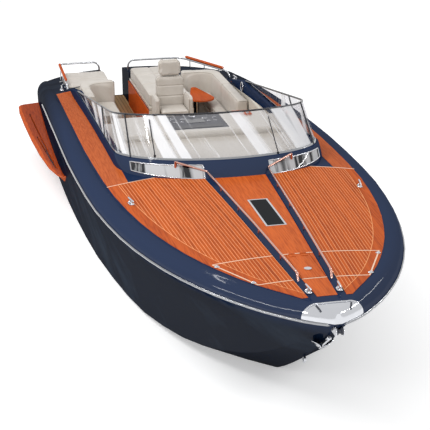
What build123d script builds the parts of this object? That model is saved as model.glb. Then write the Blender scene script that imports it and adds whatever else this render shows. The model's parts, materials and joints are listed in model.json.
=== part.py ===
from build123d import *
from math import asin, cos, radians, sin
import os

# Planked sports cruiser, afloat. X runs to the bow, Y to port, Z up.
# The origin is amidships on the centreline, at the waterline.

# Hull
stern_x = -6400
hull_length = 13100
half_beam = 1940
freeboard = 1453
gunwale_width = 226
gunwale_rise = 165
stern_corner_radius = 1000
stern_corner_half_beam = 1870

# Table of offsets, as shares: place along the hull length, keel height and chine height and rail
# height of the freeboard, chine and rail breadth of the half beam, bulge of the topside of its own
# height, gunwale width and gunwale rise of their full sizes
offset_shares = [
    # along, keel, chine_y, chine_z, rail_y, rail_z, bulge, width, rise
    (0.0000, -0.379, 0.856, -0.014, 0.952, 0.655, 0.030, 1.00, 1.00),
    (0.1680, -0.379, 0.880, -0.003, 0.975, 0.828, 0.030, 1.00, 1.00),
    (0.3590, -0.367, 0.866, 0.005, 0.998, 0.951, 0.015, 1.00, 1.00),
    (0.5570, -0.332, 0.776, 0.022, 0.995, 1.018, -0.010, 1.00, 1.00),
    (0.6950, -0.262, 0.624, 0.062, 0.940, 1.045, -0.040, 1.00, 1.00),
    (0.7940, -0.072, 0.418, 0.175, 0.824, 1.061, -0.060, 1.00, 1.00),
    (0.8700, 0.282, 0.217, 0.400, 0.659, 1.073, -0.070, 1.00, 1.00),
    (0.9310, 0.637, 0.108, 0.710, 0.450, 1.084, -0.070, 1.00, 1.00),
    (0.9690, 0.888, 0.052, 0.925, 0.261, 1.092, -0.060, 1.00, 1.00),
    (0.9920, 1.036, 0.018, 1.050, 0.096, 1.097, -0.030, 0.49, 0.95),
    (0.9992, 1.080, 0.007, 1.084, 0.018, 1.099, -0.010, 0.09, 0.75),
]
low_crown_share = 0.010
full_crown_share = 0.089
gunwale_round_shares = (0.80, 0.72)

# Stations at which the hull is built, faired between the rows of the table
station_shares = (
    0, 0.06, 0.115, 0.168, 0.235, 0.30, 0.365, 0.43, 0.495, 0.56, 0.62, 0.67, 0.715, 0.755, 0.79,
    0.82, 0.847, 0.872, 0.894, 0.914, 0.931, 0.946, 0.959, 0.969, 0.978, 0.986, 0.992, 0.9965, 0.9992,
)
plank_first, plank_last = 3, 23

# Deck planking and the two painted strips between its panels
plank_proud = 4
plank_recess = 10
plank_edge_gap = 12
seam_gap = 8
side_seam_x = 1960
strip_aft_x = 2430
strip_fore_x = 6560
strip_aft_y = 390
strip_fore_y = 140
strip_width = 96

# Deck light and anchor locker lid, both between the strips
light_aft_x = 3300
light_fore_x = 4240
light_width = 250
light_rim = 22
light_depth = 30
lid_aft_x = 5140
lid_fore_x = 5800
lid_half_width = 128
lid_gap = 6
lid_thickness = 26
locker_depth = 520
locker_ledge = 22
latch_radius = 42
latch_x = 5560
latch_height = 6

# Coaming: sections of a D-shaped plan, each with its height, nose and half width
coaming_low_z = 1480
coaming_knee_z = 1780
coaming_high_z = 2060
coaming_low_nose = 2460
coaming_knee_nose = 2400
coaming_high_nose = 1980
coaming_low_half = 1440
coaming_knee_half = 1430
coaming_high_half = 1360
coaming_wall = 110
coaming_aft_x = -4300
coaming_brow_x = 2600
coaming_brow_z = 2035
coaming_shoulder_x = 660
coaming_shoulder_z = 1800
coaming_tail_x = -3200
coaming_tail_z = 1660
coaming_end_z = 1430

# Windshield
glass_thickness = 12
glass_low_z = 1600
glass_high_z = 2520
glass_low_nose = 2598
glass_high_nose = 1310
glass_low_half = 1411
glass_high_half = 1353
glass_top_slope_share = 0.165
frame_depth = 34
frame_proud = 7
sill_height = 22
sill_proud = 8

# Cabin windows in the coaming's front
window_inner_y = 430
window_outer_y = 1290
window_depth = 9

# Cockpit well
sole_z = 750
sole_thickness = 20
well_half_width = 1300
well_fore_x = -950
well_aft_x = -3400
seat_well_aft_x = -4450
sofa_well_aft_x = -4800
walk_outer_y = -620
walk_inner_y = -200
sofa_well_inner_y = 560
lining_thickness = 25

# Engines and their bay, plain blocks at their real place
bay_aft_x = -5500
bay_fore_x = -3900
bay_half_width = 1080
bay_floor_z = -120
bay_top_z = 690
engine_length = 1450
engine_width = 780
engine_height = 740
engine_y = 590
hatchway_margin = 80

# Sunbathing pads aft
pad_deck_z = 1200
lid_board = 40
main_pad_aft_x = -5550
main_pad_inner_y = 520
main_pad_top_z = 1450
small_pad_aft_x = -5650
small_pad_fore_x = -4560
small_pad_outer_y = -1400
small_pad_top_z = 1400
pad_gap = 8
soft_gap = 0.4
pad_radius = 60

# Drive train
shaft_y = 580
shaft_angle = 8
shaft_radius = 24
shaft_length = 2900
shaft_log_gap = 6
propeller_x = -5350
propeller_z = -740
propeller_radius = 290
hub_radius = 58
hub_length = 190
blade_count = 4
blade_thickness = 12
bracket_bore_gap = 0.6
bracket_wall = 26
bracket_length = 220
bracket_x = -5080
bracket_strut = 110
bracket_strut_thickness = 26
rudder_x = -5950
rudder_chord = 380
rudder_thickness = 46
rudder_top_z = -455
rudder_bottom_z = -960
rudder_nose_share = 0.30
rudder_tip_share = 0.72
stock_radius = 26
stock_gap = 0.5
stock_reach = 305

# Companionway and its door
entry_depth = 520
door_outer_y = -1140
door_inner_y = -560
door_sill = 40
door_head = 60
door_lap = 20
door_thickness = 35
door_gap = 6
knob_radius = 20
knob_reach = 35

# Hinges: barrels that lie on the surface beside a lid or a door
barrel_radius = 6
barrel_length = 70
leaf_length = 60
leaf_thickness = 3

# Dash
dash_low_z = 1560
dash_shelf_z = 1700
dash_brow_z = 1790
brow_depth = 1050
brow_half_width = 1150
brow_radius = 70
panel_aft_x = -850
panel_fore_x = -60
panel_half_width = 420
panel_recess = 24
panel_gap = 1
gauge_y = 760
gauge_width = 260
gauge_length = 220
compass_radius = 50
compass_height = 55
compass_sides = 16

# Side decks
side_deck_inner_y = 1380

# Bow plate, stem, rails and cleats
bow_plate_x = 6480
bow_plate_low_z = 1610
stem_eye_x = 5450
stem_eye_stand_off = 30
stem_eye_bore = 40
blade_root_share = 1.6
blade_overlap = 20
rail_bar_radius = 13
rail_bar_height = 75
rail_post_radius = 8
rub_rail_height = 26
rub_rail_depth = 22
cleat_length = 230
cleat_height = 55
cleat_bar_radius = 13
cleat_leg_radius = 16
cleat_leg_spread = 90
cleat_base_height = 8
bar_sides = 8

# Seats
seat_base_gap = 30
seat_base_top_z = 1060
seat_cushion_top_z = 1190
seat_back_top_z = 1540
seat_back_depth = 180
seat_corner_radius = 300
lounge_fore_x = -3300
sofa_fore_x = -2450
sofa_depth = 640
cushion_radius = 45

# Helm chair
helm_x = -2520
helm_y = 50
helm_post_radius = 70
helm_foot_radius = 190
helm_foot_height = 18
helm_seat_low_z = 1300
helm_seat_top_z = 1460
helm_seat_width = 460
helm_seat_length = 450
helm_back_depth = 140
helm_back_top_z = 1930
helm_head_top_z = 2190
helm_head_width = 360
helm_arm_width = 75
helm_arm_height = 200

# Steering wheel and throttles
wheel_x = -1130
wheel_z = 1480
wheel_radius = 190
wheel_rim_radius = 14
wheel_hub_radius = 45
wheel_hub_length = 50
wheel_tilt = 25
spoke_count = 3
rim_sides = 8
spoke_radius = 9
column_radius = 32
throttle_y = -300
throttle_base = 110
throttle_base_height = 50
lever_length = 150
lever_radius = 10
lever_gap = 50

# Table
table_x = -3850
table_y = 740
table_length = 950
table_width = 420
table_thickness = 28
table_top_z = 1320
table_post_radius = 45
table_foot_radius = 130
table_foot_height = 14

# Stern rails
stern_rail_z = 1510
stern_rail_x = -5830
stern_rail_radius = 16
rail_bend = 110
small_rail_outer_y = -1430
small_rail_inner_y = -700
big_rail_inner_y = -170
big_rail_outer_y = 800
big_rail_fore_x = -4750
big_rail_fore_y = 1480

# Swim platform
platform_z = 360
platform_thickness = 90
platform_reach = 480
platform_half_width = 1500
platform_corner = 260
platform_lap = 700
teak_thickness = 14
teak_margin = 45

# Side pods, with their slots as aft place and share of the reach, fore place and share of the reach
pod_seat = 60
pod_rise = 78
pod_drop = 215
pod_lip = 42
pod_slot_depth = 6
pod_slot_tip = 9
pod_slot_width = 21
pod_slots = ((-4950, 0.58, -2650, 0.40), (-3900, 0.66, -2250, 0.44))

# Wipers
wiper_radius = 7

# Hoops beside the pads
hoop_radius = 75
hoop_bar_radius = 9
hoop_sides = 20

# Anchor
anchor_x = 6420
anchor_shank = 520
anchor_fluke = 330
anchor_thickness = 34
roller_radius = 45
roller_width = 70
cheek_thickness = 10

# Flagstaff socket
socket_x = -6050
socket_y = -950
socket_radius = 24
socket_bore = 26
socket_height = 45
socket_recess_height = 24

# Places and sizes of small fittings
rail_aft_x = 2250
rail_middle_x = 4300
rail_fore_x = 5800
rail_turn_back = 210
rail_turn_y = 770
rail_turn_rise = 90
rail_bends = (60, 900, 60)
rail_post_places = (2900, 3650, 4450, 5250)
rail_end_drop = 150
rail_end_radius = 18
cleat_seat = 40
light_layer_depth = 40
light_proud = 3
table_post_y = 700
small_rail_fore_x = -4500
rail_fall = 60
cap_start = 150
cap_radius = 24
wiper_angles = (-44, 26)
wiper_low_z = 1980
wiper_high_z = 2330
wiper_stand_off = 22
wiper_boss_radius = 16
wiper_boss_height = 120
stem_cheek_x = 6500
stem_cheek_z = 1500
cheek_length = 270
cheek_height = 90
stem_run = 730
stem_drop = 530
fluke_angle = 24
eye_thickness = 24
hoop_places = ((-3060, 1311),)
transom_margin = 120
panel_board = 15
engine_margin = 60
hatch_gap = 5
hinge_spread = 240
table_lap = 240
helm_arm_share = 0.75
helm_frame_height = 40
gauge_rise = 18
knob_share = 1.8
hinge_height_shares = (0.2, 0.8)
window_low_shoulder_z = 1722
window_low_brow_z = 1815
window_head = 38

# Shared working sizes
overrun = 400
tiny = 0.3


def place(along_share):
    return stern_x + along_share * hull_length


def crown_of(half_width):
    return half_width * (low_crown_share + full_crown_share * half_width / half_beam)


def station(row):
    """Named places of one row of the table of offsets."""
    along, keel, chine_y, chine_z, rail_y, rail_z, bulge, width, rise = row
    x = place(along)
    rail = (half_beam * rail_y, freeboard * rail_z)
    edge = (rail[0] - gunwale_width * width, rail[1] + gunwale_rise * rise)
    return {
        "x": x,
        "keel": freeboard * keel,
        "chine": (half_beam * chine_y, freeboard * chine_z),
        "rail": rail,
        "edge": edge,
        "bulge": bulge,
        "crown": edge[1] + crown_of(edge[0]),
    }


def faired(table, along):
    """A row of the table at any place, on a smooth curve through its rows."""
    places = [row[0] for row in table]
    spans = [b - a for a, b in zip(places, places[1:])]
    at = max(i for i in range(len(spans)) if i == 0 or places[i] <= along)
    t = (along - places[at]) / spans[at]
    row = [along]
    for column in range(1, len(table[0])):
        values = [line[column] for line in table]
        slopes = [(b - a) / span for a, b, span in zip(values, values[1:], spans)]
        ends = []
        for i in (at, at + 1):
            before, after = slopes[max(i - 1, 0)], slopes[min(i, len(slopes) - 1)]
            near, far = spans[max(i - 1, 0)], spans[min(i, len(spans) - 1)]
            ends.append((before * far + after * near) / (near + far) * spans[at])
        row.append(values[at] * (1 - t) ** 2 * (1 + 2 * t) + values[at + 1] * t ** 2 * (3 - 2 * t)
                   + ends[0] * t * (1 - t) ** 2 - ends[1] * t ** 2 * (1 - t))
    return row


stations = [station(faired(offset_shares, along)) for along in station_shares]


def at_station(value, x):
    """A station value, or a pair of them, between the stations, at x."""
    for low, high in zip(stations, stations[1:]):
        if x <= high["x"] or high is stations[-1]:
            share = (x - low["x"]) / (high["x"] - low["x"])
            a, b = low[value], high[value]
            if isinstance(a, tuple):
                return tuple(p + (q - p) * share for p, q in zip(a, b))
            return a + (b - a) * share


def deck_height(x, y):
    """Height of the crowned deck at a place."""
    half, edge_z = at_station("edge", x)
    return edge_z + crown_of(half) * (1 - (y / half) ** 2)


def hull_section(s):
    """Closed section of the hull: two bottoms, two topsides, two gunwales and the crowned deck."""
    x, (cy, cz), (ry, rz), (ey, ez) = s["x"], s["chine"], s["rail"], s["edge"]
    bulge = (rz - cz) * s["bulge"]
    gunwale_mid_y = ey + (ry - ey) * gunwale_round_shares[0]
    gunwale_mid_z = rz + (ez - rz) * gunwale_round_shares[1]
    half_edges = []
    for side in (1, -1):
        keel = Vector(x, 0, s["keel"])
        chine = Vector(x, side * cy, cz)
        rail = Vector(x, side * ry, rz)
        edge = Vector(x, side * ey, ez)
        topside_mid = Vector(x, side * ((cy + ry) / 2 + bulge), (cz + rz) / 2)
        gunwale_mid = Vector(x, side * gunwale_mid_y, gunwale_mid_z)
        half_edges.append([
            Edge.make_line(keel, chine),
            Edge.make_three_point_arc(chine, topside_mid, rail),
            Edge.make_three_point_arc(rail, gunwale_mid, edge),
        ])
    deck = Edge.make_three_point_arc(
        Vector(x, ey, ez), Vector(x, 0, s["crown"]), Vector(x, -ey, ez)
    )
    return Face(Wire(half_edges[0] + [deck] + half_edges[1]))


def deck_layer_section(s, low, high, edge_gap):
    """Section of a layer that follows the deck's crown, from low to high beside it."""
    x, (ey, ez), crown = s["x"], s["edge"], s["crown"]
    y = ey - edge_gap
    side_z = ez + crown_of(ey) * (1 - (y / ey) ** 2)
    corners = [Vector(x, side * y, side_z + lift) for side, lift in
               ((1, low), (1, high), (-1, high), (-1, low))]
    return Face(Wire([
        Edge.make_line(corners[0], corners[1]),
        Edge.make_three_point_arc(corners[1], Vector(x, 0, crown + high), corners[2]),
        Edge.make_line(corners[2], corners[3]),
        Edge.make_three_point_arc(corners[3], Vector(x, 0, crown + low), corners[0]),
    ]))


def plan_prism(points, low_z, high_z):
    """A plan outline, given as x and y pairs, made solid between two heights."""
    face = Face(Wire.make_polygon([Vector(x, y, low_z) for x, y in points], close=True))
    return extrude(face, amount=high_z - low_z, dir=(0, 0, 1))


def side_prism(points, half_width):
    """A side outline, given as x and z pairs, made solid across the boat."""
    face = Face(Wire.make_polygon([Vector(x, -half_width, z) for x, z in points], close=True))
    return extrude(face, amount=2 * half_width, dir=(0, 1, 0))


def block(x0, x1, y0, y1, z0, z1):
    """A rectangular block between two corners."""
    return Pos((x0 + x1) / 2, (y0 + y1) / 2, (z0 + z1) / 2) * Box(
        abs(x1 - x0), abs(y1 - y0), abs(z1 - z0)
    )


def rounded_block(x0, x1, y0, y1, z0, z1, radius):
    """A block with its upright edges and top edges rounded, as a cushion is."""
    solid = block(x0, x1, y0, y1, z0, z1)
    solid = fillet(solid.edges().filter_by(Axis.Z), radius)
    return fillet(solid.edges().group_by(Axis.Z)[-1], radius / 2)


def d_face(nose, half, z, aft_x):
    """D-shaped plan: straight sides and a round nose tangent to them."""
    start = nose - half
    a, b = Vector(aft_x, -half, z), Vector(start, -half, z)
    c, d = Vector(start, half, z), Vector(aft_x, half, z)
    return Face(Wire([
        Edge.make_line(a, b),
        Edge.make_three_point_arc(b, Vector(nose, 0, z), c),
        Edge.make_line(c, d),
        Edge.make_line(d, a),
    ]))


def tube_path(points, radius, bends):
    """A round bar along straight runs joined by bends."""
    path = FilletPolyline(*points, radius=bends)
    start = Vector(*points[0])
    return sweep(Plane(origin=start, z_dir=Vector(*points[1]) - start) * Circle(radius), path=path)


nodes = {}


def add(name, *solids):
    nodes[name] = list(solids)


# Hull blank with rounded quarters
blank = loft([hull_section(s) for s in stations], ruled=True)
corner_x = stern_x + stern_corner_radius
corner_y = stern_corner_half_beam - stern_corner_radius
for side in (1, -1):
    corner = block(stern_x - overrun, corner_x, side * corner_y, side * (half_beam + overrun),
                   -freeboard, 2 * freeboard)
    pillar = Pos(corner_x, side * corner_y, 0) * Cylinder(stern_corner_radius, 6 * freeboard)
    blank = blank - (corner - pillar)

# Layers that follow the deck
layer_rows = stations[plank_first:plank_last + 1]
planking = loft([deck_layer_section(s, -plank_recess, plank_proud, plank_edge_gap)
                 for s in layer_rows], ruled=True)

# Coaming and windshield surfaces
coaming_sections = [
    (coaming_low_nose, coaming_low_half, coaming_low_z),
    (coaming_knee_nose, coaming_knee_half, coaming_knee_z),
    (coaming_high_nose, coaming_high_half, coaming_high_z),
]
coaming_outer = loft([d_face(nose, half, z, coaming_aft_x) for nose, half, z in coaming_sections])
coaming_inner = loft([d_face(nose - coaming_wall, half - coaming_wall, z, coaming_aft_x - overrun)
                      for nose, half, z in coaming_sections])
sill_line = [
    (coaming_aft_x - overrun, coaming_end_z), (coaming_aft_x, coaming_end_z),
    (coaming_tail_x, coaming_tail_z), (coaming_shoulder_x, coaming_shoulder_z),
    (coaming_brow_x, coaming_brow_z),
]
deep = -freeboard
tall = 2 * freeboard
wide = half_beam + overrun
below_sill = side_prism(sill_line + [(coaming_brow_x, deep), (coaming_aft_x - overrun, deep)], wide)
coaming = (coaming_outer - coaming_inner) & below_sill
coaming = coaming - blank


def glass_skin(outward, thickness):
    """Shell of the windshield's surface, moved outward by a distance."""
    faces = []
    for grow in (outward, outward - thickness):
        faces.append(loft([
            d_face(glass_low_nose + grow, glass_low_half + grow, glass_low_z,
                   coaming_tail_x - (overrun if grow == outward else 2 * overrun)),
            d_face(glass_high_nose + grow, glass_high_half + grow, glass_high_z,
                   coaming_tail_x - (overrun if grow == outward else 2 * overrun)),
        ], ruled=True))
    return faces[0] - faces[1]


def top_edge_z(x):
    return coaming_tail_z + (x - coaming_tail_x) * glass_top_slope_share


def band_above_sill(low, high):
    """Side view of the space from low to high above the coaming's top."""
    lower = [(x, z + low) for x, z in sill_line[1:]]
    upper = [(x, z + high) for x, z in reversed(sill_line[1:])]
    return side_prism(lower + upper, wide)


def band_under_top_edge(low, high):
    """Side view of the space between two heights beside the glass's top edge."""
    x0, x1 = coaming_tail_x, coaming_brow_x
    return side_prism([(x0, top_edge_z(x0) + low), (x1, top_edge_z(x1) + low),
                       (x1, top_edge_z(x1) + high), (x0, top_edge_z(x0) + high)], wide)


glass_room = side_prism([(coaming_tail_x, coaming_tail_z), (coaming_shoulder_x, coaming_shoulder_z),
                         (coaming_brow_x, coaming_brow_z),
                         (coaming_brow_x, top_edge_z(coaming_brow_x))], wide)
windshield = glass_skin(0, glass_thickness) & glass_room
glass_frame = (glass_skin(frame_proud, glass_thickness + 2 * frame_proud)
               & band_under_top_edge(-frame_depth, frame_proud)) - windshield - coaming
sill_trim = (glass_skin(sill_proud, sill_proud) & band_above_sill(0, sill_height)
             & glass_room) - glass_frame

# Windows in the coaming's front
coaming_skin = coaming_outer - loft([
    d_face(nose - window_depth, half - window_depth, z, coaming_aft_x - overrun)
    for nose, half, z in coaming_sections
])
window_band = side_prism([
    (coaming_shoulder_x, window_low_shoulder_z), (coaming_brow_x, window_low_brow_z),
    (coaming_brow_x, coaming_brow_z - window_head),
    (coaming_shoulder_x, coaming_shoulder_z - window_head),
], wide)
windows = []
for side in (1, -1):
    y0, y1 = sorted((side * window_inner_y, side * window_outer_y))
    window_room = block(coaming_shoulder_x, coaming_brow_x, y0, y1, coaming_low_z, coaming_high_z)
    windows.append((coaming_skin & window_band & window_room) - blank)
for window in windows:
    coaming = coaming - window

# Hull cut-outs
well = block(well_aft_x, well_fore_x, -well_half_width, well_half_width, sole_z - sole_thickness, tall)
seat_well = block(seat_well_aft_x, well_aft_x, -well_half_width, walk_inner_y,
                  sole_z - sole_thickness, tall)
sofa_well = block(sofa_well_aft_x, well_aft_x, sofa_well_inner_y, well_half_width,
                  sole_z - sole_thickness, tall)
walkway = block(stern_x - overrun, seat_well_aft_x, walk_outer_y, walk_inner_y,
                sole_z - sole_thickness, tall)
main_pad_seat = block(main_pad_aft_x - pad_gap, well_aft_x, walk_inner_y, sofa_well_inner_y,
                      pad_deck_z, tall)
small_pad_seat = block(small_pad_aft_x - pad_gap, small_pad_fore_x + pad_gap,
                       small_pad_outer_y - pad_gap, walk_outer_y, pad_deck_z, tall)
hatchway = block(main_pad_aft_x + hatchway_margin, bay_fore_x, walk_inner_y + hatchway_margin,
                 main_pad_inner_y - hatchway_margin, bay_top_z, tall)
bay = block(bay_aft_x, bay_fore_x, -bay_half_width, bay_half_width, bay_floor_z, bay_top_z)
well_body = well + seat_well + sofa_well + walkway + main_pad_seat + small_pad_seat + hatchway + bay

# Companionway into the cabin, behind its door
companionway = block(well_fore_x - overrun, well_fore_x + entry_depth, door_outer_y, door_inner_y,
                     sole_z + door_sill, dash_low_z - door_head)

# Anchor locker under its lid, between the strips
lid_side = lid_half_width + lid_gap
lid_cut = block(lid_aft_x - lid_gap, lid_fore_x + lid_gap, -lid_side, lid_side,
                deck_height(lid_fore_x, lid_half_width) - lid_thickness - lid_gap, tall)
locker = block(lid_aft_x + locker_ledge, lid_fore_x - locker_ledge, -lid_side + locker_ledge,
               lid_side - locker_ledge, deck_height(lid_aft_x, 0) - locker_depth, tall)

# Deck light recess
light_cut = block(light_aft_x, light_fore_x, -light_width / 2, light_width / 2,
                  deck_height(light_aft_x, 0) - light_depth, tall)

# Dash, seated in a pocket inside the coaming
dash_room = coaming_inner & block(well_fore_x, coaming_low_nose, -half_beam, half_beam,
                                  dash_low_z, coaming_high_z)
dash = (dash_room & block(well_fore_x, coaming_low_nose, -half_beam, half_beam,
                          dash_low_z, dash_shelf_z))
brow = block(well_fore_x, well_fore_x + brow_depth, -brow_half_width, brow_half_width,
             dash_shelf_z, dash_brow_z)
brow = fillet(brow.edges().group_by(Axis.Z)[-1], brow_radius)
instrument_bay = block(panel_aft_x, panel_fore_x, -panel_half_width, panel_half_width,
                       dash_brow_z - panel_recess, tall)
dash = dash + brow - instrument_bay

# Planking: two striped side panels, a plain centre panel and the side decks
strip_slope = (strip_aft_y - strip_fore_y) / (strip_fore_x - strip_aft_x)


def strip_y(x):
    """Distance of a strip's middle from the centreline."""
    return strip_aft_y - (x - strip_aft_x) * strip_slope


def strip_outline(side, low, high):
    """Plan of a band beside a strip's middle line, between two offsets."""
    x0, x1 = side_seam_x - overrun, strip_fore_x + overrun
    return [(x0, side * (strip_y(x0) + low)), (x1, side * (strip_y(x1) + low)),
            (x1, side * (strip_y(x1) + high)), (x0, side * (strip_y(x0) + high))]


half_strip = strip_width / 2
planking = planking - coaming_outer
fore_room = block(side_seam_x + seam_gap / 2, bow_plate_x - seam_gap, -wide, wide, deep, tall)
side_room = block(place(station_shares[plank_first]), side_seam_x - seam_gap / 2, -wide, wide, deep, tall)
foredeck = planking & fore_room
centre_plan = [(x, s * (strip_y(x) - half_strip)) for x, s in
               ((side_seam_x - overrun, 1), (strip_fore_x + overrun, 1),
                (strip_fore_x + overrun, -1), (side_seam_x - overrun, -1))]
centre_planks = (foredeck & plan_prism(centre_plan, deep, tall)) - lid_cut - light_cut
panels = {}
for side, word in ((-1, "starboard"), (1, "port")):
    outer_plan = strip_outline(side, half_strip, half_beam)
    panels[word] = foredeck & plan_prism(outer_plan, deep, tall)
side_deck_room = planking & side_room
side_decks = {}
for side, word in ((-1, "starboard"), (1, "port")):
    y0, y1 = sorted((side * side_deck_inner_y, side * wide))
    side_decks[word] = (side_deck_room & block(stern_x, side_seam_x, y0, y1, deep, tall)) - coaming

lid = loft([deck_layer_section(s, -lid_thickness, plank_proud, plank_edge_gap)
            for s in layer_rows], ruled=True)
lid = lid & block(lid_aft_x, lid_fore_x, -lid_half_width, lid_half_width, deep, tall)
lid_hinge_x = lid_aft_x - barrel_radius
lid_hinge_z = deck_height(lid_aft_x, 0) + plank_proud + barrel_radius + tiny
for side in (1, -1):
    lid = lid + Pos(lid_hinge_x, side * lid_half_width / 2, lid_hinge_z) * Rot(90, 0, 0) * Cylinder(
        barrel_radius, barrel_length)
    leaf_y = side * lid_half_width / 2
    leaf_low_z = lid_hinge_z - barrel_radius
    lid = lid + block(lid_hinge_x, lid_aft_x + leaf_length, leaf_y - barrel_length / 2,
                      leaf_y + barrel_length / 2, leaf_low_z, leaf_low_z + leaf_thickness)
    lid = lid + block(lid_aft_x, lid_aft_x + leaf_length, leaf_y - barrel_length / 2,
                      leaf_y + barrel_length / 2, leaf_low_z - leaf_thickness, leaf_low_z)

# Bow plate: the tip of the blank above the rail line
plate_room = block(bow_plate_x, stern_x + hull_length + overrun, -wide, wide, bow_plate_low_z, tall)
bow_plate = blank & plate_room

# Shafts, brackets, propellers and rudders
shaft_way = Vector(-cos(radians(shaft_angle)), 0, -sin(radians(shaft_angle)))


def shaft_frame(side, along):
    """A frame on the shaft line, its Z along the shaft, at a distance ahead of the propeller."""
    origin = Vector(propeller_x, side * shaft_y, propeller_z) - shaft_way * along
    return Plane(origin=origin, x_dir=(0, 1, 0), z_dir=shaft_way)


def blade_section(radius_share, chord_share, pitch_angle):
    """Lens-shaped section of a blade, square to its span."""
    half_chord = propeller_radius * chord_share
    half_thick = blade_thickness * (blade_root_share - radius_share) / 2
    radius = propeller_radius * radius_share
    a, b = Vector(-half_chord, 0), Vector(half_chord, 0)
    lens = Face(Wire([Edge.make_three_point_arc(a, Vector(0, half_thick), b),
                      Edge.make_three_point_arc(b, Vector(0, -half_thick), a)]))
    turned = Rot(0, 0, pitch_angle) * lens
    return Plane(origin=(radius, 0, 0), x_dir=(0, 1, 0), z_dir=(1, 0, 0)) * turned


blade_shares = [
    # radius, half chord, pitch angle from the disc
    (0.14, 0.20, 58),
    (0.60, 0.34, 34),
    (0.97, 0.12, 24),
]


def propeller(side):
    blade = loft([blade_section(*row) for row in blade_shares])
    hub = Cylinder(hub_radius, hub_length)
    hub = fillet(hub.edges().filter_by(GeomType.CIRCLE), hub_radius / 4)
    wheel = hub
    for turn in range(blade_count):
        wheel = wheel + Rot(0, 0, turn * 360 / blade_count) * blade
    shaft = Pos(0, 0, -shaft_length / 2) * Cylinder(shaft_radius, shaft_length)
    return shaft_frame(side, 0) * (wheel + shaft)


def bracket(side):
    """Barrel round the shaft, and the strut that carries it under the hull."""
    along = bracket_x - propeller_x
    frame = shaft_frame(side, along)
    barrel = Cylinder(shaft_radius + bracket_bore_gap + bracket_wall, bracket_length)
    bore = Cylinder(shaft_radius + bracket_bore_gap, bracket_length + overrun)
    foot = frame.origin
    strut = block(foot.X - bracket_strut / 2, foot.X + bracket_strut / 2,
                  side * shaft_y - bracket_strut_thickness / 2,
                  side * shaft_y + bracket_strut_thickness / 2, foot.Z, foot.Z + freeboard / 2)
    return strut + frame * barrel - frame * bore - blank


def rudder(side):
    """Foil-shaped blade under a round stock."""
    def foil(z, share):
        chord = rudder_chord * share
        nose, tail = rudder_x + chord * rudder_nose_share, rudder_x - chord * (1 - rudder_nose_share)
        thick = rudder_thickness / 2
        widest = nose - thick
        y = side * shaft_y
        return Face(Wire([
            Edge.make_three_point_arc(Vector(widest, y + thick, z), Vector(nose, y, z),
                                      Vector(widest, y - thick, z)),
            Edge.make_line(Vector(widest, y - thick, z), Vector(tail, y - thick / 4, z)),
            Edge.make_line(Vector(tail, y - thick / 4, z), Vector(tail, y + thick / 4, z)),
            Edge.make_line(Vector(tail, y + thick / 4, z), Vector(widest, y + thick, z)),
        ]))
    blade = loft([foil(rudder_bottom_z, rudder_tip_share), foil(rudder_top_z, 1)], ruled=True)
    stock = Pos(rudder_x, side * shaft_y, rudder_top_z + stock_reach / 2 - blade_overlap) * Cylinder(
        stock_radius, stock_reach + 2 * blade_overlap)
    return blade + stock


shaft_logs = [shaft_frame(side, shaft_length / 2) * Cylinder(shaft_radius + shaft_log_gap,
                                                             shaft_length + 2 * shaft_log_gap)
              for side in (1, -1)]
stock_bores = [Pos(rudder_x, side * shaft_y, rudder_top_z + stock_reach / 2) * Cylinder(
    stock_radius + stock_gap, stock_reach + 2 * blade_overlap + 2 * stock_gap) for side in (1, -1)]

socket_z = deck_height(socket_x, socket_y)
socket_recess = Pos(socket_x, socket_y, socket_z) * Cylinder(
    (socket_radius + socket_bore / 2) / 2, socket_recess_height)

# Hull, less all that is let into it
hull = blank - well_body - companionway - lid_cut - locker - light_cut - dash_room
hull = hull - plate_room
for piece in (panels["starboard"], panels["port"], centre_planks, side_decks["starboard"],
              side_decks["port"]):
    hull = hull - piece
for cut in shaft_logs + stock_bores + [socket_recess]:
    hull = hull - cut
add("hull", hull)
add("foredeck_planks", panels["starboard"], panels["port"])
add("foredeck_planks_centre", centre_planks)
add("side_decks", side_decks["starboard"], side_decks["port"])
add("anchor_locker_lid", lid)
add("bow_plate", bow_plate)
add("coaming", coaming)
add("windshield_glass", windshield)
add("windshield_frame", glass_frame)
add("windshield_sill", sill_trim)
add("dash", dash)
for side, word in ((1, "port"), (-1, "starboard")):
    add("propeller_" + word, propeller(side))
    add("rudder_" + word, rudder(side))
add("shaft_brackets", bracket(1), bracket(-1))

# Rub rail along the knuckle under the gunwale
def rub_section(s, side):
    x, (y, z) = s["x"], s["rail"]
    inner = side * (y - rub_rail_depth)
    outer = side * (y + rub_rail_depth)
    low, high = z - rub_rail_height / 2, z + rub_rail_height / 2
    return Face(Wire([
        Edge.make_line(Vector(x, inner, low), Vector(x, side * y, low)),
        Edge.make_three_point_arc(Vector(x, side * y, low), Vector(x, outer, z),
                                  Vector(x, side * y, high)),
        Edge.make_line(Vector(x, side * y, high), Vector(x, inner, high)),
        Edge.make_line(Vector(x, inner, high), Vector(x, inner, low)),
    ]))


rub_rows = stations[plank_first:-1]
rub_rails = [loft([rub_section(s, side) for s in rub_rows], ruled=True) - blank for side in (1, -1)]
rub_room = block(place(station_shares[plank_first]), bow_plate_x + overrun, -wide, wide, deep, tall)
add("rub_rail", *[rail & rub_room for rail in rub_rails])

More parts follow.
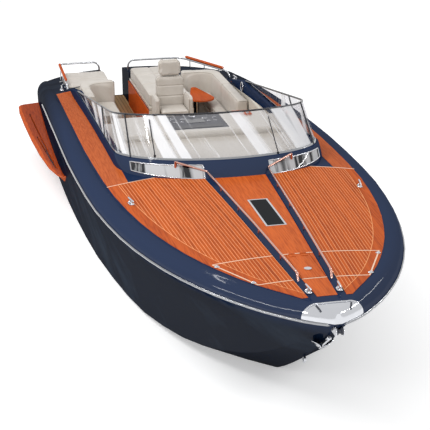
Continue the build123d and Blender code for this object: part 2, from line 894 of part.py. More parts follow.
# Cockpit sole, lining and panels
sole = (block(well_aft_x, well_fore_x, -well_half_width, well_half_width, sole_z - sole_thickness, sole_z)
        + block(seat_well_aft_x, well_aft_x, -well_half_width, walk_inner_y,
                sole_z - sole_thickness, sole_z)
        + block(sofa_well_aft_x, well_aft_x, sofa_well_inner_y, well_half_width,
                sole_z - sole_thickness, sole_z)
        + block(stern_x + transom_margin, seat_well_aft_x, walk_outer_y, walk_inner_y,
                sole_z - sole_thickness, sole_z))
add("cockpit_sole", sole)
linings = []
for side in (1, -1):
    y0, y1 = sorted((side * (well_half_width - lining_thickness), side * well_half_width))
    linings.append(block(sofa_fore_x + seat_base_gap, well_fore_x, y0, y1, sole_z, dash_low_z))
add("cockpit_lining", *linings)
side_panel = block(main_pad_aft_x, well_aft_x, walk_inner_y - panel_board, walk_inner_y,
                   sole_z, pad_deck_z)
add("pad_side_panel", side_panel)

# Engines
engines = [block(bay_aft_x + engine_margin, bay_aft_x + engine_margin + engine_length,
                 side * engine_y - engine_width / 2, side * engine_y + engine_width / 2,
                 bay_floor_z, bay_floor_z + engine_height) for side in (1, -1)]
add("engines", *engines)

# Main pad on its engine hatch, and the small pad
hatch = block(main_pad_aft_x, well_aft_x - pad_gap, walk_inner_y + pad_gap, main_pad_inner_y,
              pad_deck_z + hatch_gap, pad_deck_z + hatch_gap + lid_board)
hatch_hinge_x = well_aft_x - barrel_radius
hatch_hinge_z = pad_deck_z + barrel_radius + tiny
hatch_middle_y = (walk_inner_y + main_pad_inner_y) / 2
for offset in (-1, 1):
    y = hatch_middle_y + offset * hinge_spread
    hatch = hatch + Pos(hatch_hinge_x, y, hatch_hinge_z) * Rot(90, 0, 0) * Cylinder(
        barrel_radius, barrel_length)
    hatch = hatch + block(hatch_hinge_x - leaf_length, hatch_hinge_x, y - barrel_length / 2,
                          y + barrel_length / 2, hatch_hinge_z, hatch_hinge_z + barrel_radius)
add("engine_hatch", hatch)
hatch_top_z = pad_deck_z + hatch_gap + lid_board
add("sunpad_main", rounded_block(main_pad_aft_x, well_aft_x - leaf_length - pad_gap,
                                 walk_inner_y + pad_gap, main_pad_inner_y,
                                 hatch_top_z + soft_gap, main_pad_top_z, pad_radius))
add("sunpad_small", rounded_block(small_pad_aft_x, small_pad_fore_x, small_pad_outer_y,
                                  walk_outer_y - pad_gap, pad_deck_z + soft_gap, small_pad_top_z,
                                  pad_radius))


# Lounge seat to starboard and sofa to port, each an L of base, cushion and back
def l_seat(x0, x1, y0, y1, inner_dx, inner_dy, z0, z1, radius, top_radius):
    """An L in plan: a rounded block, less a rounded block moved forward and inboard."""
    side = 1 if y1 > 0 else -1
    outer = block(x0, x1, y0, y1, z0, z1)
    aft_edges = outer.edges().filter_by(Axis.Z).group_by(Axis.X)[0]
    outboard = aft_edges.sort_by(Axis.Y)[-1 if side > 0 else 0]
    outer = fillet(outboard, radius)
    inner_y = (y0 - overrun, y1 - inner_dy) if side > 0 else (y0 + inner_dy, y1 + overrun)
    inner = block(x0 + inner_dx, x1 + overrun, inner_y[0], inner_y[1], z0 - overrun, z1 + overrun)
    aft_edges = inner.edges().filter_by(Axis.Z).group_by(Axis.X)[0]
    outboard = aft_edges.sort_by(Axis.Y)[-1 if side > 0 else 0]
    inner = fillet(outboard, radius - min(inner_dx, inner_dy) / 2)
    shape = outer - inner
    if top_radius:
        shape = fillet(shape.edges().group_by(Axis.Z)[-1], top_radius)
    return shape


lounge_y = (-well_half_width + seat_base_gap, walk_outer_y - seat_base_gap)
sofa_y = (sofa_well_inner_y + seat_base_gap, well_half_width - seat_base_gap)
lounge_x = (seat_well_aft_x + seat_base_gap, lounge_fore_x)
sofa_x = (sofa_well_aft_x + seat_base_gap, sofa_fore_x)
lounge_base = block(lounge_x[0], lounge_x[1], lounge_y[0], lounge_y[1], sole_z, seat_base_top_z)
lounge_base = fillet(lounge_base.edges().filter_by(Axis.Z), cushion_radius)
lounge_cushion = rounded_block(lounge_x[0] + seat_back_depth, lounge_x[1],
                                    lounge_y[0] + seat_back_depth, lounge_y[1],
                                    seat_base_top_z + soft_gap, seat_cushion_top_z, pad_radius)
lounge_cushion = lounge_cushion - l_seat(
    lounge_x[0], lounge_x[1], lounge_y[0], lounge_y[1], seat_back_depth, seat_back_depth,
    seat_base_top_z, seat_back_top_z, seat_corner_radius, 0)
lounge_back = l_seat(lounge_x[0], lounge_x[1], lounge_y[0], lounge_y[1],
                     seat_back_depth - soft_gap, seat_back_depth - soft_gap,
                     seat_base_top_z + soft_gap, seat_back_top_z, seat_corner_radius, cushion_radius)
sofa_base = l_seat(sofa_x[0], sofa_x[1], sofa_y[0], sofa_y[1], sofa_depth,
                   sofa_depth - table_lap, sole_z, seat_base_top_z, seat_corner_radius, 0)
sofa_cushion = l_seat(sofa_x[0] + seat_back_depth + soft_gap, sofa_x[1],
                           sofa_y[0], sofa_y[1] - seat_back_depth - soft_gap,
                           sofa_depth - seat_back_depth,
                           sofa_depth - seat_back_depth - table_lap,
                           seat_base_top_z + soft_gap, seat_cushion_top_z,
                           seat_corner_radius - seat_back_depth / 2, cushion_radius)
sofa_back = l_seat(sofa_x[0], sofa_x[1], sofa_y[0], sofa_y[1], seat_back_depth - soft_gap,
                   seat_back_depth - soft_gap, seat_base_top_z + soft_gap, seat_back_top_z,
                   seat_corner_radius, cushion_radius)
add("seat_bases", lounge_base, sofa_base)
add("seat_cushions", lounge_cushion, sofa_cushion)
add("seat_backs", lounge_back, sofa_back)

# Helm chair
post = Pos(helm_x, helm_y, sole_z + helm_foot_height / 2) * Cylinder(helm_foot_radius, helm_foot_height)
post_height = helm_seat_low_z - helm_frame_height / 2 - sole_z
post = post + Pos(helm_x, helm_y, sole_z + post_height / 2) * Cylinder(helm_post_radius, post_height)
seat_aft_x = helm_x - helm_seat_length / 2
seat_half = helm_seat_width / 2
add("helm_seat_cushion", rounded_block(seat_aft_x, seat_aft_x + helm_seat_length,
                                       helm_y - seat_half, helm_y + seat_half,
                                       helm_seat_low_z + soft_gap, helm_seat_top_z, cushion_radius))
shell = block(seat_aft_x - helm_back_depth, seat_aft_x - soft_gap, helm_y - seat_half, helm_y + seat_half,
              helm_seat_low_z, helm_back_top_z)
shell = chamfer(shell.edges().filter_by(Axis.X), cushion_radius)
add("helm_back", shell)
head = block(seat_aft_x - helm_back_depth, seat_aft_x - soft_gap,
             helm_y - helm_head_width / 2, helm_y + helm_head_width / 2,
             helm_back_top_z + soft_gap, helm_head_top_z)
head = chamfer(head.edges().filter_by(Axis.X), cushion_radius)
add("helm_headrest", head)
arms = []
for side in (1, -1):
    y0, y1 = sorted((helm_y + side * (seat_half + soft_gap),
                     helm_y + side * (seat_half + helm_arm_width)))
    arm = block(seat_aft_x - helm_back_depth / 2, seat_aft_x + helm_seat_length * helm_arm_share, y0, y1,
                helm_seat_low_z, helm_seat_top_z + helm_arm_height)
    arms.append(chamfer(arm.edges().filter_by(Axis.Y), cushion_radius))
add("helm_arms", *arms)
frame_low_z = helm_seat_low_z - helm_frame_height
add("helm_pedestal", post + block(seat_aft_x - helm_back_depth / 2, helm_x + helm_post_radius,
                                  helm_y - seat_half - helm_arm_width,
                                  helm_y + seat_half + helm_arm_width,
                                  frame_low_z, helm_seat_low_z))

# Steering wheel on its column, tilted back
wheel_axis = Vector(-cos(radians(wheel_tilt)), 0, sin(radians(wheel_tilt)))
wheel_frame = Plane(origin=(wheel_x, helm_y, wheel_z), x_dir=(0, 1, 0), z_dir=wheel_axis)
wheel = Cylinder(wheel_hub_radius, wheel_hub_length)
for turn in range(spoke_count):
    spoke = Pos(wheel_radius / 2, 0, 0) * Rot(0, 90, 0) * Cylinder(
        spoke_radius, wheel_radius - wheel_rim_radius)
    wheel = wheel + Rot(0, 0, 90 + turn * 360 / spoke_count) * spoke
wheel = wheel + revolve(Plane.XZ * (Pos(wheel_radius, 0) * RegularPolygon(wheel_rim_radius, rim_sides)),
                        Axis.Z, 360)
add("steering_wheel", wheel_frame * wheel)
column_length = (well_fore_x - wheel_x) / cos(radians(wheel_tilt)) + overrun / 4
column = wheel_frame * Pos(0, 0, -wheel_hub_length / 2 - tiny - column_length / 2) * Cylinder(
    column_radius, column_length)
add("steering_column", column - block(well_fore_x, 0, -wide, wide, deep, tall))

# Instrument panel, compass, gauges and throttles
add("instrument_panel", block(panel_aft_x + panel_gap, panel_fore_x - panel_gap,
                              -panel_half_width + panel_gap, panel_half_width - panel_gap,
                              dash_brow_z - panel_recess, dash_brow_z - panel_recess / 4))
compass = Pos(panel_aft_x + 2 * compass_radius, 0, dash_brow_z - panel_recess / 4) * extrude(
    RegularPolygon(compass_radius, compass_sides), amount=compass_height)
add("compass", chamfer(compass.edges().group_by(Axis.Z)[-1], compass_radius / 4))
add("gauge_panel", block(panel_aft_x, panel_aft_x + gauge_length, gauge_y - gauge_width / 2,
                         gauge_y + gauge_width / 2, dash_brow_z, dash_brow_z + gauge_rise))
throttle_foot_x = well_fore_x - throttle_base_height
box = block(throttle_foot_x, well_fore_x, throttle_y - throttle_base / 2,
            throttle_y + throttle_base / 2, wheel_z - throttle_base, wheel_z + throttle_base / 2)
levers = box
for side in (1, -1):
    lever = extrude(RegularPolygon(lever_radius, bar_sides), amount=lever_length)
    knob = extrude(RegularPolygon(lever_radius * knob_share, bar_sides), amount=2 * lever_radius * knob_share)
    at_lever = Pos(throttle_foot_x, throttle_y + side * lever_gap / 2, wheel_z) * Rot(0, -90, 0)
    levers = levers + at_lever * lever + at_lever * Pos(0, 0, lever_length - lever_radius) * knob
add("throttles", levers)

# Door of the cabin
door_axis_x = well_fore_x - barrel_radius - tiny
door_axis_y = door_outer_y - door_lap
door_low_z = sole_z + door_sill - door_lap
door_high_z = dash_low_z - door_head + door_lap
door = block(well_fore_x - door_gap - door_thickness, well_fore_x - door_gap,
             door_axis_y + barrel_radius, door_inner_y + door_lap, door_low_z, door_high_z)
for share in hinge_height_shares:
    z = door_low_z + (door_high_z - door_low_z) * share
    door = door + Pos(door_axis_x, door_axis_y, z) * Cylinder(barrel_radius, barrel_length)
    door = door + block(door_axis_x - barrel_radius, door_axis_x, door_axis_y,
                        door_axis_y + 2 * barrel_radius, z - barrel_length / 2, z + barrel_length / 2)
door = door + Pos(well_fore_x - door_gap - door_thickness - knob_reach / 2,
                  door_inner_y - 2 * knob_radius, (door_low_z + door_high_z) / 2) * Rot(
    0, 90, 0) * Cylinder(knob_radius, knob_reach)
add("cabin_door", door)


def two_circle_plan(x0, radius0, x1, radius1, y, z):
    """Plan of a band laid round two circles, as a teardrop is; the first lies ahead."""
    lean = asin((radius0 - radius1) / (x0 - x1))
    along, across = sin(lean), cos(lean)
    a = [Vector(x0 - radius0 * along, y + way * radius0 * across, z) for way in (1, -1)]
    b = [Vector(x1 - radius1 * along, y + way * radius1 * across, z) for way in (1, -1)]
    return Face(Wire([
        Edge.make_three_point_arc(a[0], Vector(x0 + radius0, y, z), a[1]),
        Edge.make_line(a[1], b[1]),
        Edge.make_three_point_arc(b[1], Vector(x1 - radius1, y, z), b[0]),
        Edge.make_line(b[0], a[0]),
    ]))


# Table with a teardrop top on a pedestal
table_low_z = table_top_z - table_thickness
table_tip_radius = table_width / 8
top_face = two_circle_plan(table_x + (table_length - table_width) / 2, table_width / 2,
                           table_x - table_length / 2 + table_tip_radius, table_tip_radius,
                           table_y, table_low_z)
table_top = extrude(top_face, amount=table_thickness, dir=(0, 0, 1))
add("table_top", fillet(table_top.edges().group_by(Axis.Z)[-1], table_thickness / 3))
post_height = table_low_z - sole_z
table_post = Pos(table_x, table_post_y, sole_z + post_height / 2) * Cylinder(
    table_post_radius, post_height)
table_post = table_post + Pos(table_x, table_post_y, sole_z + table_foot_height / 2) * Cylinder(
    table_foot_radius, table_foot_height)
add("table_pedestal", table_post)


def seated(solid, *carriers):
    """A fitting cut off where it meets what carries it."""
    for piece in carriers:
        solid = solid - piece
    return solid.solids().sort_by(SortBy.VOLUME)[-1]


# Handrails on the strips: a bar on posts, down to the strip at the bow, outboard at the windshield
def on_strip(side, x, lift):
    return (x, side * strip_y(x), deck_height(x, strip_y(x)) + lift)


hand_rails = []
for side in (1, -1):
    aft = on_strip(side, rail_aft_x, rail_bar_height)
    turned = (rail_aft_x - rail_turn_back, side * rail_turn_y, aft[2] + rail_turn_rise)
    bar = tube_path([
        on_strip(side, rail_fore_x + rail_bar_height, -rail_bar_height),
        on_strip(side, rail_fore_x, rail_bar_height),
        on_strip(side, rail_middle_x, rail_bar_height), aft, turned,
    ], rail_bar_radius, rail_bends)
    for x in rail_post_places:
        height = 2 * rail_bar_height
        bar = bar + Pos(*on_strip(side, x, 0)) * Cylinder(rail_post_radius, height)
    bar = bar + Pos(turned[0], turned[1], turned[2] - rail_end_drop / 2) * Cylinder(
        rail_end_radius, rail_end_drop + rail_bar_radius)
    hand_rails.append(seated(bar, blank, coaming, *windows))
add("handrails", *hand_rails)


def cleat(size_share):
    """A cleat: a foot with its corners cut off, two legs and a horned bar."""
    spread = cleat_leg_spread * size_share
    foot = block(-spread / 2 - 2 * cleat_leg_radius, spread / 2 + 2 * cleat_leg_radius,
                 -2 * cleat_leg_radius, 2 * cleat_leg_radius, -cleat_seat, cleat_base_height)
    foot = chamfer(foot.edges().filter_by(Axis.Z), cleat_leg_radius)
    for way in (1, -1):
        leg = extrude(RegularPolygon(cleat_leg_radius, bar_sides), amount=cleat_height)
        foot = foot + Pos(way * spread / 2, 0, 0) * leg
    bar = extrude(RegularPolygon(cleat_bar_radius, bar_sides), amount=cleat_length * size_share / 2, both=True)
    return foot + Pos(0, 0, cleat_height) * Rot(0, 90, 0) * bar


cleat_shares = [
    # along the hull, across the deck's half width there, size; turn in plan; on the planking
    (0.9590, 0.44, 0.80, -4, False),
    (0.7010, 0.93, 0.90, -10, True),
    (0.1450, 0.92, 0.90, 4, False),
]
cleats = []
for along, across, size, turn, on_planks in cleat_shares:
    x = place(along)
    y = at_station("edge", x)[0] * across
    for side, word in ((1, "port"), (-1, "starboard")):
        carriers = (blank, panels[word]) if on_planks else (blank,)
        spot = Pos(x, side * y, deck_height(x, y) + plank_proud) * Rot(0, 0, side * turn)
        cleats.append(seated(spot * cleat(size), *carriers))
add("cleats", *cleats)

# Deck light: a smoked pane in a bright rim
light_rim_block = block(light_aft_x, light_fore_x, -light_width / 2, light_width / 2, deep, tall)
light_pane_block = block(light_aft_x + light_rim, light_fore_x - light_rim,
                         light_rim - light_width / 2, light_width / 2 - light_rim, deep, tall)
light_layer = loft([deck_layer_section(s, -light_layer_depth, plank_proud + light_proud,
                                       plank_edge_gap) for s in layer_rows], ruled=True)
light_floor = block(light_aft_x, light_fore_x, -light_width, light_width,
                    deck_height(light_aft_x, 0) - light_depth, tall)
add("deck_light_rim", (light_layer & light_rim_block & light_floor) - light_pane_block)
add("deck_light_pane", light_layer & light_pane_block & light_floor)

# Latch of the locker lid
latch_z = deck_height(latch_x, 0) + plank_proud
add("locker_latch", (Pos(latch_x, 0, latch_z) * Cylinder(latch_radius, 2 * latch_height)) - lid)

# Stern rails with wooden caps along their fore-and-aft parts
deck_low = pad_deck_z - rail_bend
small_rail_points = [
    (stern_rail_x, small_rail_inner_y, deck_low),
    (stern_rail_x, small_rail_inner_y, stern_rail_z),
    (stern_rail_x, small_rail_outer_y, stern_rail_z),
    (small_rail_fore_x, small_rail_outer_y, stern_rail_z - rail_fall),
    (small_rail_fore_x, small_rail_outer_y, deck_low),
]
big_rail_points = [
    (stern_rail_x, big_rail_inner_y, deck_low),
    (stern_rail_x, big_rail_inner_y, stern_rail_z),
    (stern_rail_x, big_rail_outer_y, stern_rail_z),
    (big_rail_fore_x, big_rail_fore_y, stern_rail_z - rail_fall),
    (big_rail_fore_x, big_rail_fore_y, deck_low),
]
stern_rails = []
caps = []
for points, bends in ((small_rail_points, (rail_bend, rail_bend, rail_bend)),
                      (big_rail_points, (rail_bend, 3 * rail_bend, rail_bend))):
    rail = tube_path(points, stern_rail_radius, bends)
    stern_rails.append(seated(rail, blank))
    turn, end = Vector(*points[2]), Vector(*points[3])
    way = (end - turn).normalized()
    a, b = turn + way * cap_start, end - way * cap_start
    lift = Vector(0, 0, stern_rail_radius + cap_radius + tiny)
    cap = Plane(origin=a + lift, z_dir=way) * RegularPolygon(cap_radius, bar_sides)
    caps.append(extrude(cap, amount=(b - a).length, dir=way))
add("stern_rails", *stern_rails)
add("stern_rail_caps", *caps)

# Swim platform round the transom, with its teak top
platform = block(stern_x - platform_reach, stern_x + platform_lap, -platform_half_width,
                 platform_half_width, platform_z - platform_thickness, platform_z)
platform = fillet(platform.edges().filter_by(Axis.Z).group_by(Axis.X)[0], platform_corner)
add("swim_platform", platform - blank)
teak = block(stern_x - platform_reach + teak_margin, stern_x + platform_lap,
             teak_margin - platform_half_width, platform_half_width - teak_margin,
             platform_z, platform_z + teak_thickness)
teak = fillet(teak.edges().filter_by(Axis.Z).group_by(Axis.X)[0], platform_corner - teak_margin)
add("platform_teak", teak - blank)


# Side pods: long wooden fairings, each a shelf with a lip and two slots let into its top
def side_y(x, z):
    """Half breadth of the topside at a place and height."""
    (cy, cz), (ry, rz) = at_station("chine", x), at_station("rail", x)
    share = (z - cz) / (rz - cz)
    return cy + (ry - cy) * share + 4 * share * (1 - share) * at_station("bulge", x) * (rz - cz)


pod_rows = [
    # place, height of the lip, reach of the lip from the topside, size of the section as a share
    (-5480, 868, 300, 0.70),
    (-5430, 862, 362, 0.92),
    (-5200, 832, 372, 1.00),
    (-4600, 762, 338, 1.00),
    (-3900, 690, 290, 1.00),
    (-3200, 636, 232, 1.00),
    (-2500, 608, 160, 0.90),
    (-2000, 630, 84, 0.70),
    (-1650, 700, 34, 0.45),
    (-1400, 790, 8, 0.20),
]


def pod_row(x):
    """Lip height, reach and size share at a place, on straight runs between the rows."""
    for aft, fore in zip(pod_rows, pod_rows[1:]):
        if x <= fore[0]:
            share = (x - aft[0]) / (fore[0] - aft[0])
            return [p + (q - p) * share for p, q in zip(aft[1:], fore[1:])]


def pod_section(side, x, lip_z, reach, size_share):
    wall = side_y(x, lip_z)
    out = wall + reach
    lip = pod_lip * size_share
    outline = [
        (wall - pod_seat, lip_z + pod_rise * size_share),
        (out - lip, lip_z + lip),
        (out, lip_z + lip / 3),
        (out, lip_z - lip / 2),
        (out - lip, lip_z - lip),
        (wall - pod_seat, lip_z - pod_drop * size_share),
    ]
    return Face(Wire.make_polygon([Vector(x, side * y, z) for y, z in outline], close=True))


pods = []
for side in (1, -1):
    pod = loft([pod_section(side, *row) for row in pod_rows], ruled=True) - blank
    for aft_x, aft_share, fore_x, fore_share in pod_slots:
        ends = []
        for x, share, width in ((aft_x, aft_share, pod_slot_tip), (fore_x, fore_share, pod_slot_width)):
            lip_z, reach, size_share = pod_row(x)
            middle_y = side_y(x, lip_z) + reach * share
            low = lip_z - pod_slot_depth
            outline = [(middle_y - width, low), (middle_y + width, low),
                       (middle_y + width, low + overrun), (middle_y - width, low + overrun)]
            ends.append(Face(Wire.make_polygon([Vector(x, side * y, z) for y, z in outline], close=True)))
        pod = pod - loft(ends, ruled=True)
    pods.append(pod.solids().sort_by(SortBy.VOLUME)[-1])
add("side_pods", *pods)


# Wipers: one standing on the glass to starboard, one lying along the sill to port
def glass_place(angle, z, stand_off):
    """Place on the windshield's round nose, by its angle in plan from the bow."""
    share = (z - glass_low_z) / (glass_high_z - glass_low_z)
    nose = glass_low_nose + (glass_high_nose - glass_low_nose) * share
    half = glass_low_half + (glass_high_half - glass_low_half) * share
    reach = half + stand_off
    return Vector(nose - half + reach * cos(radians(angle)), reach * sin(radians(angle)), z)


def bar_between(a, b, radius):
    return sweep(Plane(origin=a, z_dir=b - a) * Circle(radius), path=Line(a, b))


wipers = []
for angle, low_z, end_angle, end_z in ((wiper_angles[0], wiper_low_z, wiper_angles[0], wiper_high_z),
                                       (wiper_angles[1], wiper_low_z, wiper_angles[1], wiper_high_z)):
    foot = glass_place(angle, low_z, wiper_stand_off)
    tip = glass_place(end_angle, end_z, wiper_stand_off)
    arm = bar_between(foot, tip, wiper_radius)
    arm = arm + Pos(foot.X, foot.Y, foot.Z - wiper_boss_height / 2) * Cylinder(
        wiper_boss_radius, wiper_boss_height)
    wipers.append((arm - coaming - windshield - sill_trim).solids().sort_by(SortBy.VOLUME)[-1])
add("wipers", *wipers)

# Stem head: cheeks and roller, with the anchor under them
cheeks = []
for side in (1, -1):
    y0, y1 = sorted((side * roller_width / 2, side * (roller_width / 2 + cheek_thickness)))
    cheek = block(stem_cheek_x, stem_cheek_x + cheek_length, y0 + tiny * (side > 0), y1,
                  stem_cheek_z, stem_cheek_z + cheek_height)
    cheeks.append(cheek)
roller_x = stem_cheek_x + cheek_length - roller_radius
roller_z = stem_cheek_z + cheek_height / 2
pin = Pos(roller_x, 0, roller_z) * Rot(90, 0, 0) * Cylinder(
    roller_radius / 3, roller_width + 2 * cheek_thickness)
stem_head = cheeks[0] + cheeks[1] + pin + Pos(roller_x, 0, roller_z) * Rot(90, 0, 0) * Cylinder(
    roller_radius, roller_width - 2 * tiny)
bridge = block(stem_cheek_x, stem_cheek_x + cheek_length / 2, -roller_width / 2 - cheek_thickness,
               roller_width / 2 + cheek_thickness, stem_cheek_z, stem_cheek_z + cheek_thickness)
add("stem_head", (stem_head + bridge) - blank)

stem_way = Vector(-stem_run, 0, -stem_drop).normalized()
stem_out = Vector(stem_drop, 0, -stem_run).normalized()
anchor_plane = Plane(origin=Vector(anchor_x, 0, at_station("keel", anchor_x)),
                     x_dir=stem_way, z_dir=stem_out)
anchor = block(0, anchor_shank, -anchor_thickness / 2, anchor_thickness / 2,
               -anchor_thickness, anchor_thickness)
for side in (1, -1):
    fluke = Face(Wire.make_polygon([
        Vector(anchor_shank, 0, 0), Vector(anchor_shank - anchor_fluke, side * anchor_fluke / 2, 0),
        Vector(anchor_shank - anchor_fluke / 2, 0, 0)], close=True))
    plate = extrude(fluke, amount=anchor_thickness / 2, dir=(0, 0, 1))
    anchor = anchor + Pos(0, 0, anchor_thickness / 2) * Rot(side * fluke_angle, 0, 0) * plate
add("anchor", seated(anchor_plane * anchor, blank))

# Bow eye on the stem and flagstaff socket on the aft deck
eye_place = Vector(stem_eye_x, 0, at_station("keel", stem_eye_x)) + stem_out * stem_eye_stand_off
eye = Cylinder(stem_eye_bore, eye_thickness) - Cylinder(stem_eye_bore / 2, 2 * eye_thickness)
add("bow_eye", seated(Pos(eye_place) * Rot(90, 0, 0) * eye, blank))
socket = Pos(socket_x, socket_y, socket_z) * (
    Cylinder(socket_radius, 2 * socket_height)
    - Pos(0, 0, socket_height / 2) * Cylinder(socket_bore / 2, socket_height))
add("flagstaff_socket", seated(socket, blank))

# Hoop that stands on the ledge beside the sofa
hoops = []
for x, y in hoop_places:
    ring = (RegularPolygon(hoop_radius + hoop_bar_radius, hoop_sides)
            - RegularPolygon(hoop_radius - hoop_bar_radius, hoop_sides))
    ring = extrude(ring, amount=hoop_bar_radius, both=True)
    ring = Pos(x, y, deck_height(x, y) + hoop_radius) * Rot(90, 0, 0) * ring
    hoops.append(seated(ring, blank))
add("hoops", *hoops)

# Cabin windows in the coaming's front
add("coaming_windows", *windows)

os.makedirs("parts", exist_ok=True)
total = 0
for name, solids in nodes.items():
    pieces = [s for piece in solids for s in piece.solids()]
    shape = Compound(pieces) if len(pieces) > 1 else pieces[0]
    export_step(shape, "parts/" + name + ".step")
    volume = sum(s.volume for s in pieces)
    total += volume
    print(f"{name}: {len(pieces)} solids, {volume / 1e9:.4f} m3")
print(f"{len(nodes)} nodes, {total / 1e9:.2f} m3")
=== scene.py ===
# %% [markdown]
# A planked sports cruiser, afloat. The construction comes in as a fixed frame: every piece of it
# already lies at its real place and size, in metres, with +X to the bow, +Y to port and the
# waterline at z = 0. This lesson gives those pieces their looks: paint, varnished planking,
# leather, chrome and glass, and the fine things that sit on them.

# %% Load the frame
import json
import math

import bmesh
import bpy
from mathutils import Matrix, Vector
from mathutils.bvhtree import BVHTree


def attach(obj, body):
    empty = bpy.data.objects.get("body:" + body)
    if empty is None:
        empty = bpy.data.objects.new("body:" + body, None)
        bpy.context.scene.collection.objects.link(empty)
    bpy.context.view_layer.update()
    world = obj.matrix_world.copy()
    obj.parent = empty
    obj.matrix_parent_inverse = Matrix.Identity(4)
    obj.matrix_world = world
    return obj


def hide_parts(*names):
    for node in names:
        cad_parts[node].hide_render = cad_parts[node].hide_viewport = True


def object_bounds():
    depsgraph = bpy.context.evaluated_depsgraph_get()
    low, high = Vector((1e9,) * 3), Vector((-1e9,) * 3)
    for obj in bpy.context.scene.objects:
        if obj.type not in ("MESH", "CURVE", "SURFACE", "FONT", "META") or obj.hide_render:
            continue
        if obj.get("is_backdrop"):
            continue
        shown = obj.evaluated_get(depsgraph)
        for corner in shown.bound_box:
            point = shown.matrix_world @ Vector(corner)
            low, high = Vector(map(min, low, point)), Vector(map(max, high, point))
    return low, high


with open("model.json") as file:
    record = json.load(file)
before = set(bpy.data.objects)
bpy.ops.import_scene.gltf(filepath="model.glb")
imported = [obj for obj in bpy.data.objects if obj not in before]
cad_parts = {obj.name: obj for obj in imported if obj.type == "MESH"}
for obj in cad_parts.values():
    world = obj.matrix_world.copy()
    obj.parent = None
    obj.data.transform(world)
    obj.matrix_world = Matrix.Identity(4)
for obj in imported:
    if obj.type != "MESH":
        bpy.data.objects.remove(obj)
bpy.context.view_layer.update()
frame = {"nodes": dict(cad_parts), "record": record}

body_of_node = {}
for body_name, members in frame["record"]["behaviour"]["bodies"].items():
    for member in members:
        body_of_node[member] = body_name
slot_of_node = {row["node"]: row["material_slot"] for row in frame["record"]["subparts"]}

# %% [markdown]
# The camera stands ahead of the bow and a little to starboard, and looks down on the deck. Its
# place and its three angles are written as plain values, and the rotation is built from them, so
# that each can be corrected by itself. The frame is square, and the focal length is given in
# picture widths.

# %% Camera
camera_place = Vector((19.068, -3.905, 7.302))
camera_bearing = math.radians(167.907)
camera_elevation = math.radians(-19.2876)
camera_roll = math.radians(-0.533)
focal_in_widths = 1406.9 / 430
sensor_width = 36

look = Vector((
    math.cos(camera_elevation) * math.cos(camera_bearing),
    math.cos(camera_elevation) * math.sin(camera_bearing),
    math.sin(camera_elevation),
))
level_right = look.cross(Vector((0, 0, 1))).normalized()
level_up = level_right.cross(look)
right = level_right * math.cos(camera_roll) + level_up * math.sin(camera_roll)
up = level_up * math.cos(camera_roll) - level_right * math.sin(camera_roll)

camera = bpy.data.objects.new("camera", bpy.data.cameras.new("camera"))
bpy.context.scene.collection.objects.link(camera)
camera.matrix_world = Matrix.Translation(camera_place) @ Matrix((right, up, -look)).transposed().to_4x4()
camera.data.sensor_width = sensor_width
camera.data.lens = focal_in_widths * sensor_width
camera.data.clip_end = 200
bpy.context.scene.camera = camera
print("camera lens:", round(camera.data.lens, 1))

# %% [markdown]
# A material is a small chain of shader nodes. Two helpers keep each chain short to read: one adds
# a node, and one joins two sockets. Colours and constants go straight onto the shader's own
# sockets, because an export can only keep them there.

# %% Helpers for shader chains


def new_finish(name, colour, roughness, **inputs):
    """A material with one Principled shader, its plain values set on the shader's own sockets."""
    finish = bpy.data.materials.new(name)
    finish.use_nodes = True
    shader = finish.node_tree.nodes["Principled BSDF"]
    shader.inputs["Base Color"].default_value = (*colour, 1)
    shader.inputs["Roughness"].default_value = roughness
    for key, value in inputs.items():
        shader.inputs[key.replace("_", " ")].default_value = value
    return finish


def add(finish, kind, **settings):
    """Adds a shader node; settings that name an input by words go onto that input."""
    made = finish.node_tree.nodes.new("ShaderNode" + kind)
    for key, value in settings.items():
        if key.startswith("in_"):
            made.inputs[key[3:].replace("_", " ")].default_value = value
        else:
            setattr(made, key, value)
    return made


def join(finish, source, target):
    finish.node_tree.links.new(source, target)


def shader_of(finish):
    return finish.node_tree.nodes["Principled BSDF"]


def sum_of(finish, operation, *values):
    """A Math node on sockets or plain numbers."""
    made = add(finish, "Math", operation=operation)
    for socket, value in zip(made.inputs, values):
        if isinstance(value, (int, float)):
            socket.default_value = value
        else:
            join(finish, value, socket)
    return made.outputs[0]


def object_place(finish, stretch=(1, 1, 1), turn=(0, 0, 0)):
    """Object coordinates, stretched and turned."""
    place = add(finish, "TexCoord").outputs["Object"]
    mapping = add(finish, "Mapping", in_Scale=stretch, in_Rotation=turn)
    join(finish, place, mapping.inputs["Vector"])
    return mapping.outputs["Vector"]


def noise(finish, place, scale, detail=4, roughness=0.5):
    made = add(finish, "TexNoise", in_Scale=scale, in_Detail=detail, in_Roughness=roughness)
    join(finish, place, made.inputs["Vector"])
    return made.outputs["Fac"]


def ramp(finish, factor, *stops):
    """A colour ramp through (place, colour) stops."""
    made = add(finish, "ValToRGB")
    elements = made.color_ramp.elements
    while len(elements) < len(stops):
        elements.new(0.5)
    for element, (place, colour) in zip(elements, stops):
        element.position = place
        element.color = (*colour, 1)
    join(finish, factor, made.inputs["Fac"])
    return made.outputs["Color"]


def blend_colour(finish, factor, first, second):
    made = add(finish, "Mix", data_type="RGBA")
    for socket, value in ((made.inputs[0], factor), (made.inputs[6], first), (made.inputs[7], second)):
        if isinstance(value, tuple):
            socket.default_value = (*value, 1)
        elif isinstance(value, (int, float)):
            socket.default_value = value
        else:
            join(finish, value, socket)
    return made.outputs[2]


def bump(finish, height, strength, distance):
    made = add(finish, "Bump", in_Strength=strength, in_Distance=distance)
    join(finish, height, made.inputs["Height"])
    join(finish, made.outputs["Normal"], shader_of(finish).inputs["Normal"])


def bumpy(finish, scale, detail, strength, distance):
    """A plain finish with a fine noise on its face."""
    bump(finish, noise(finish, object_place(finish), scale, detail), strength, distance)
    return finish


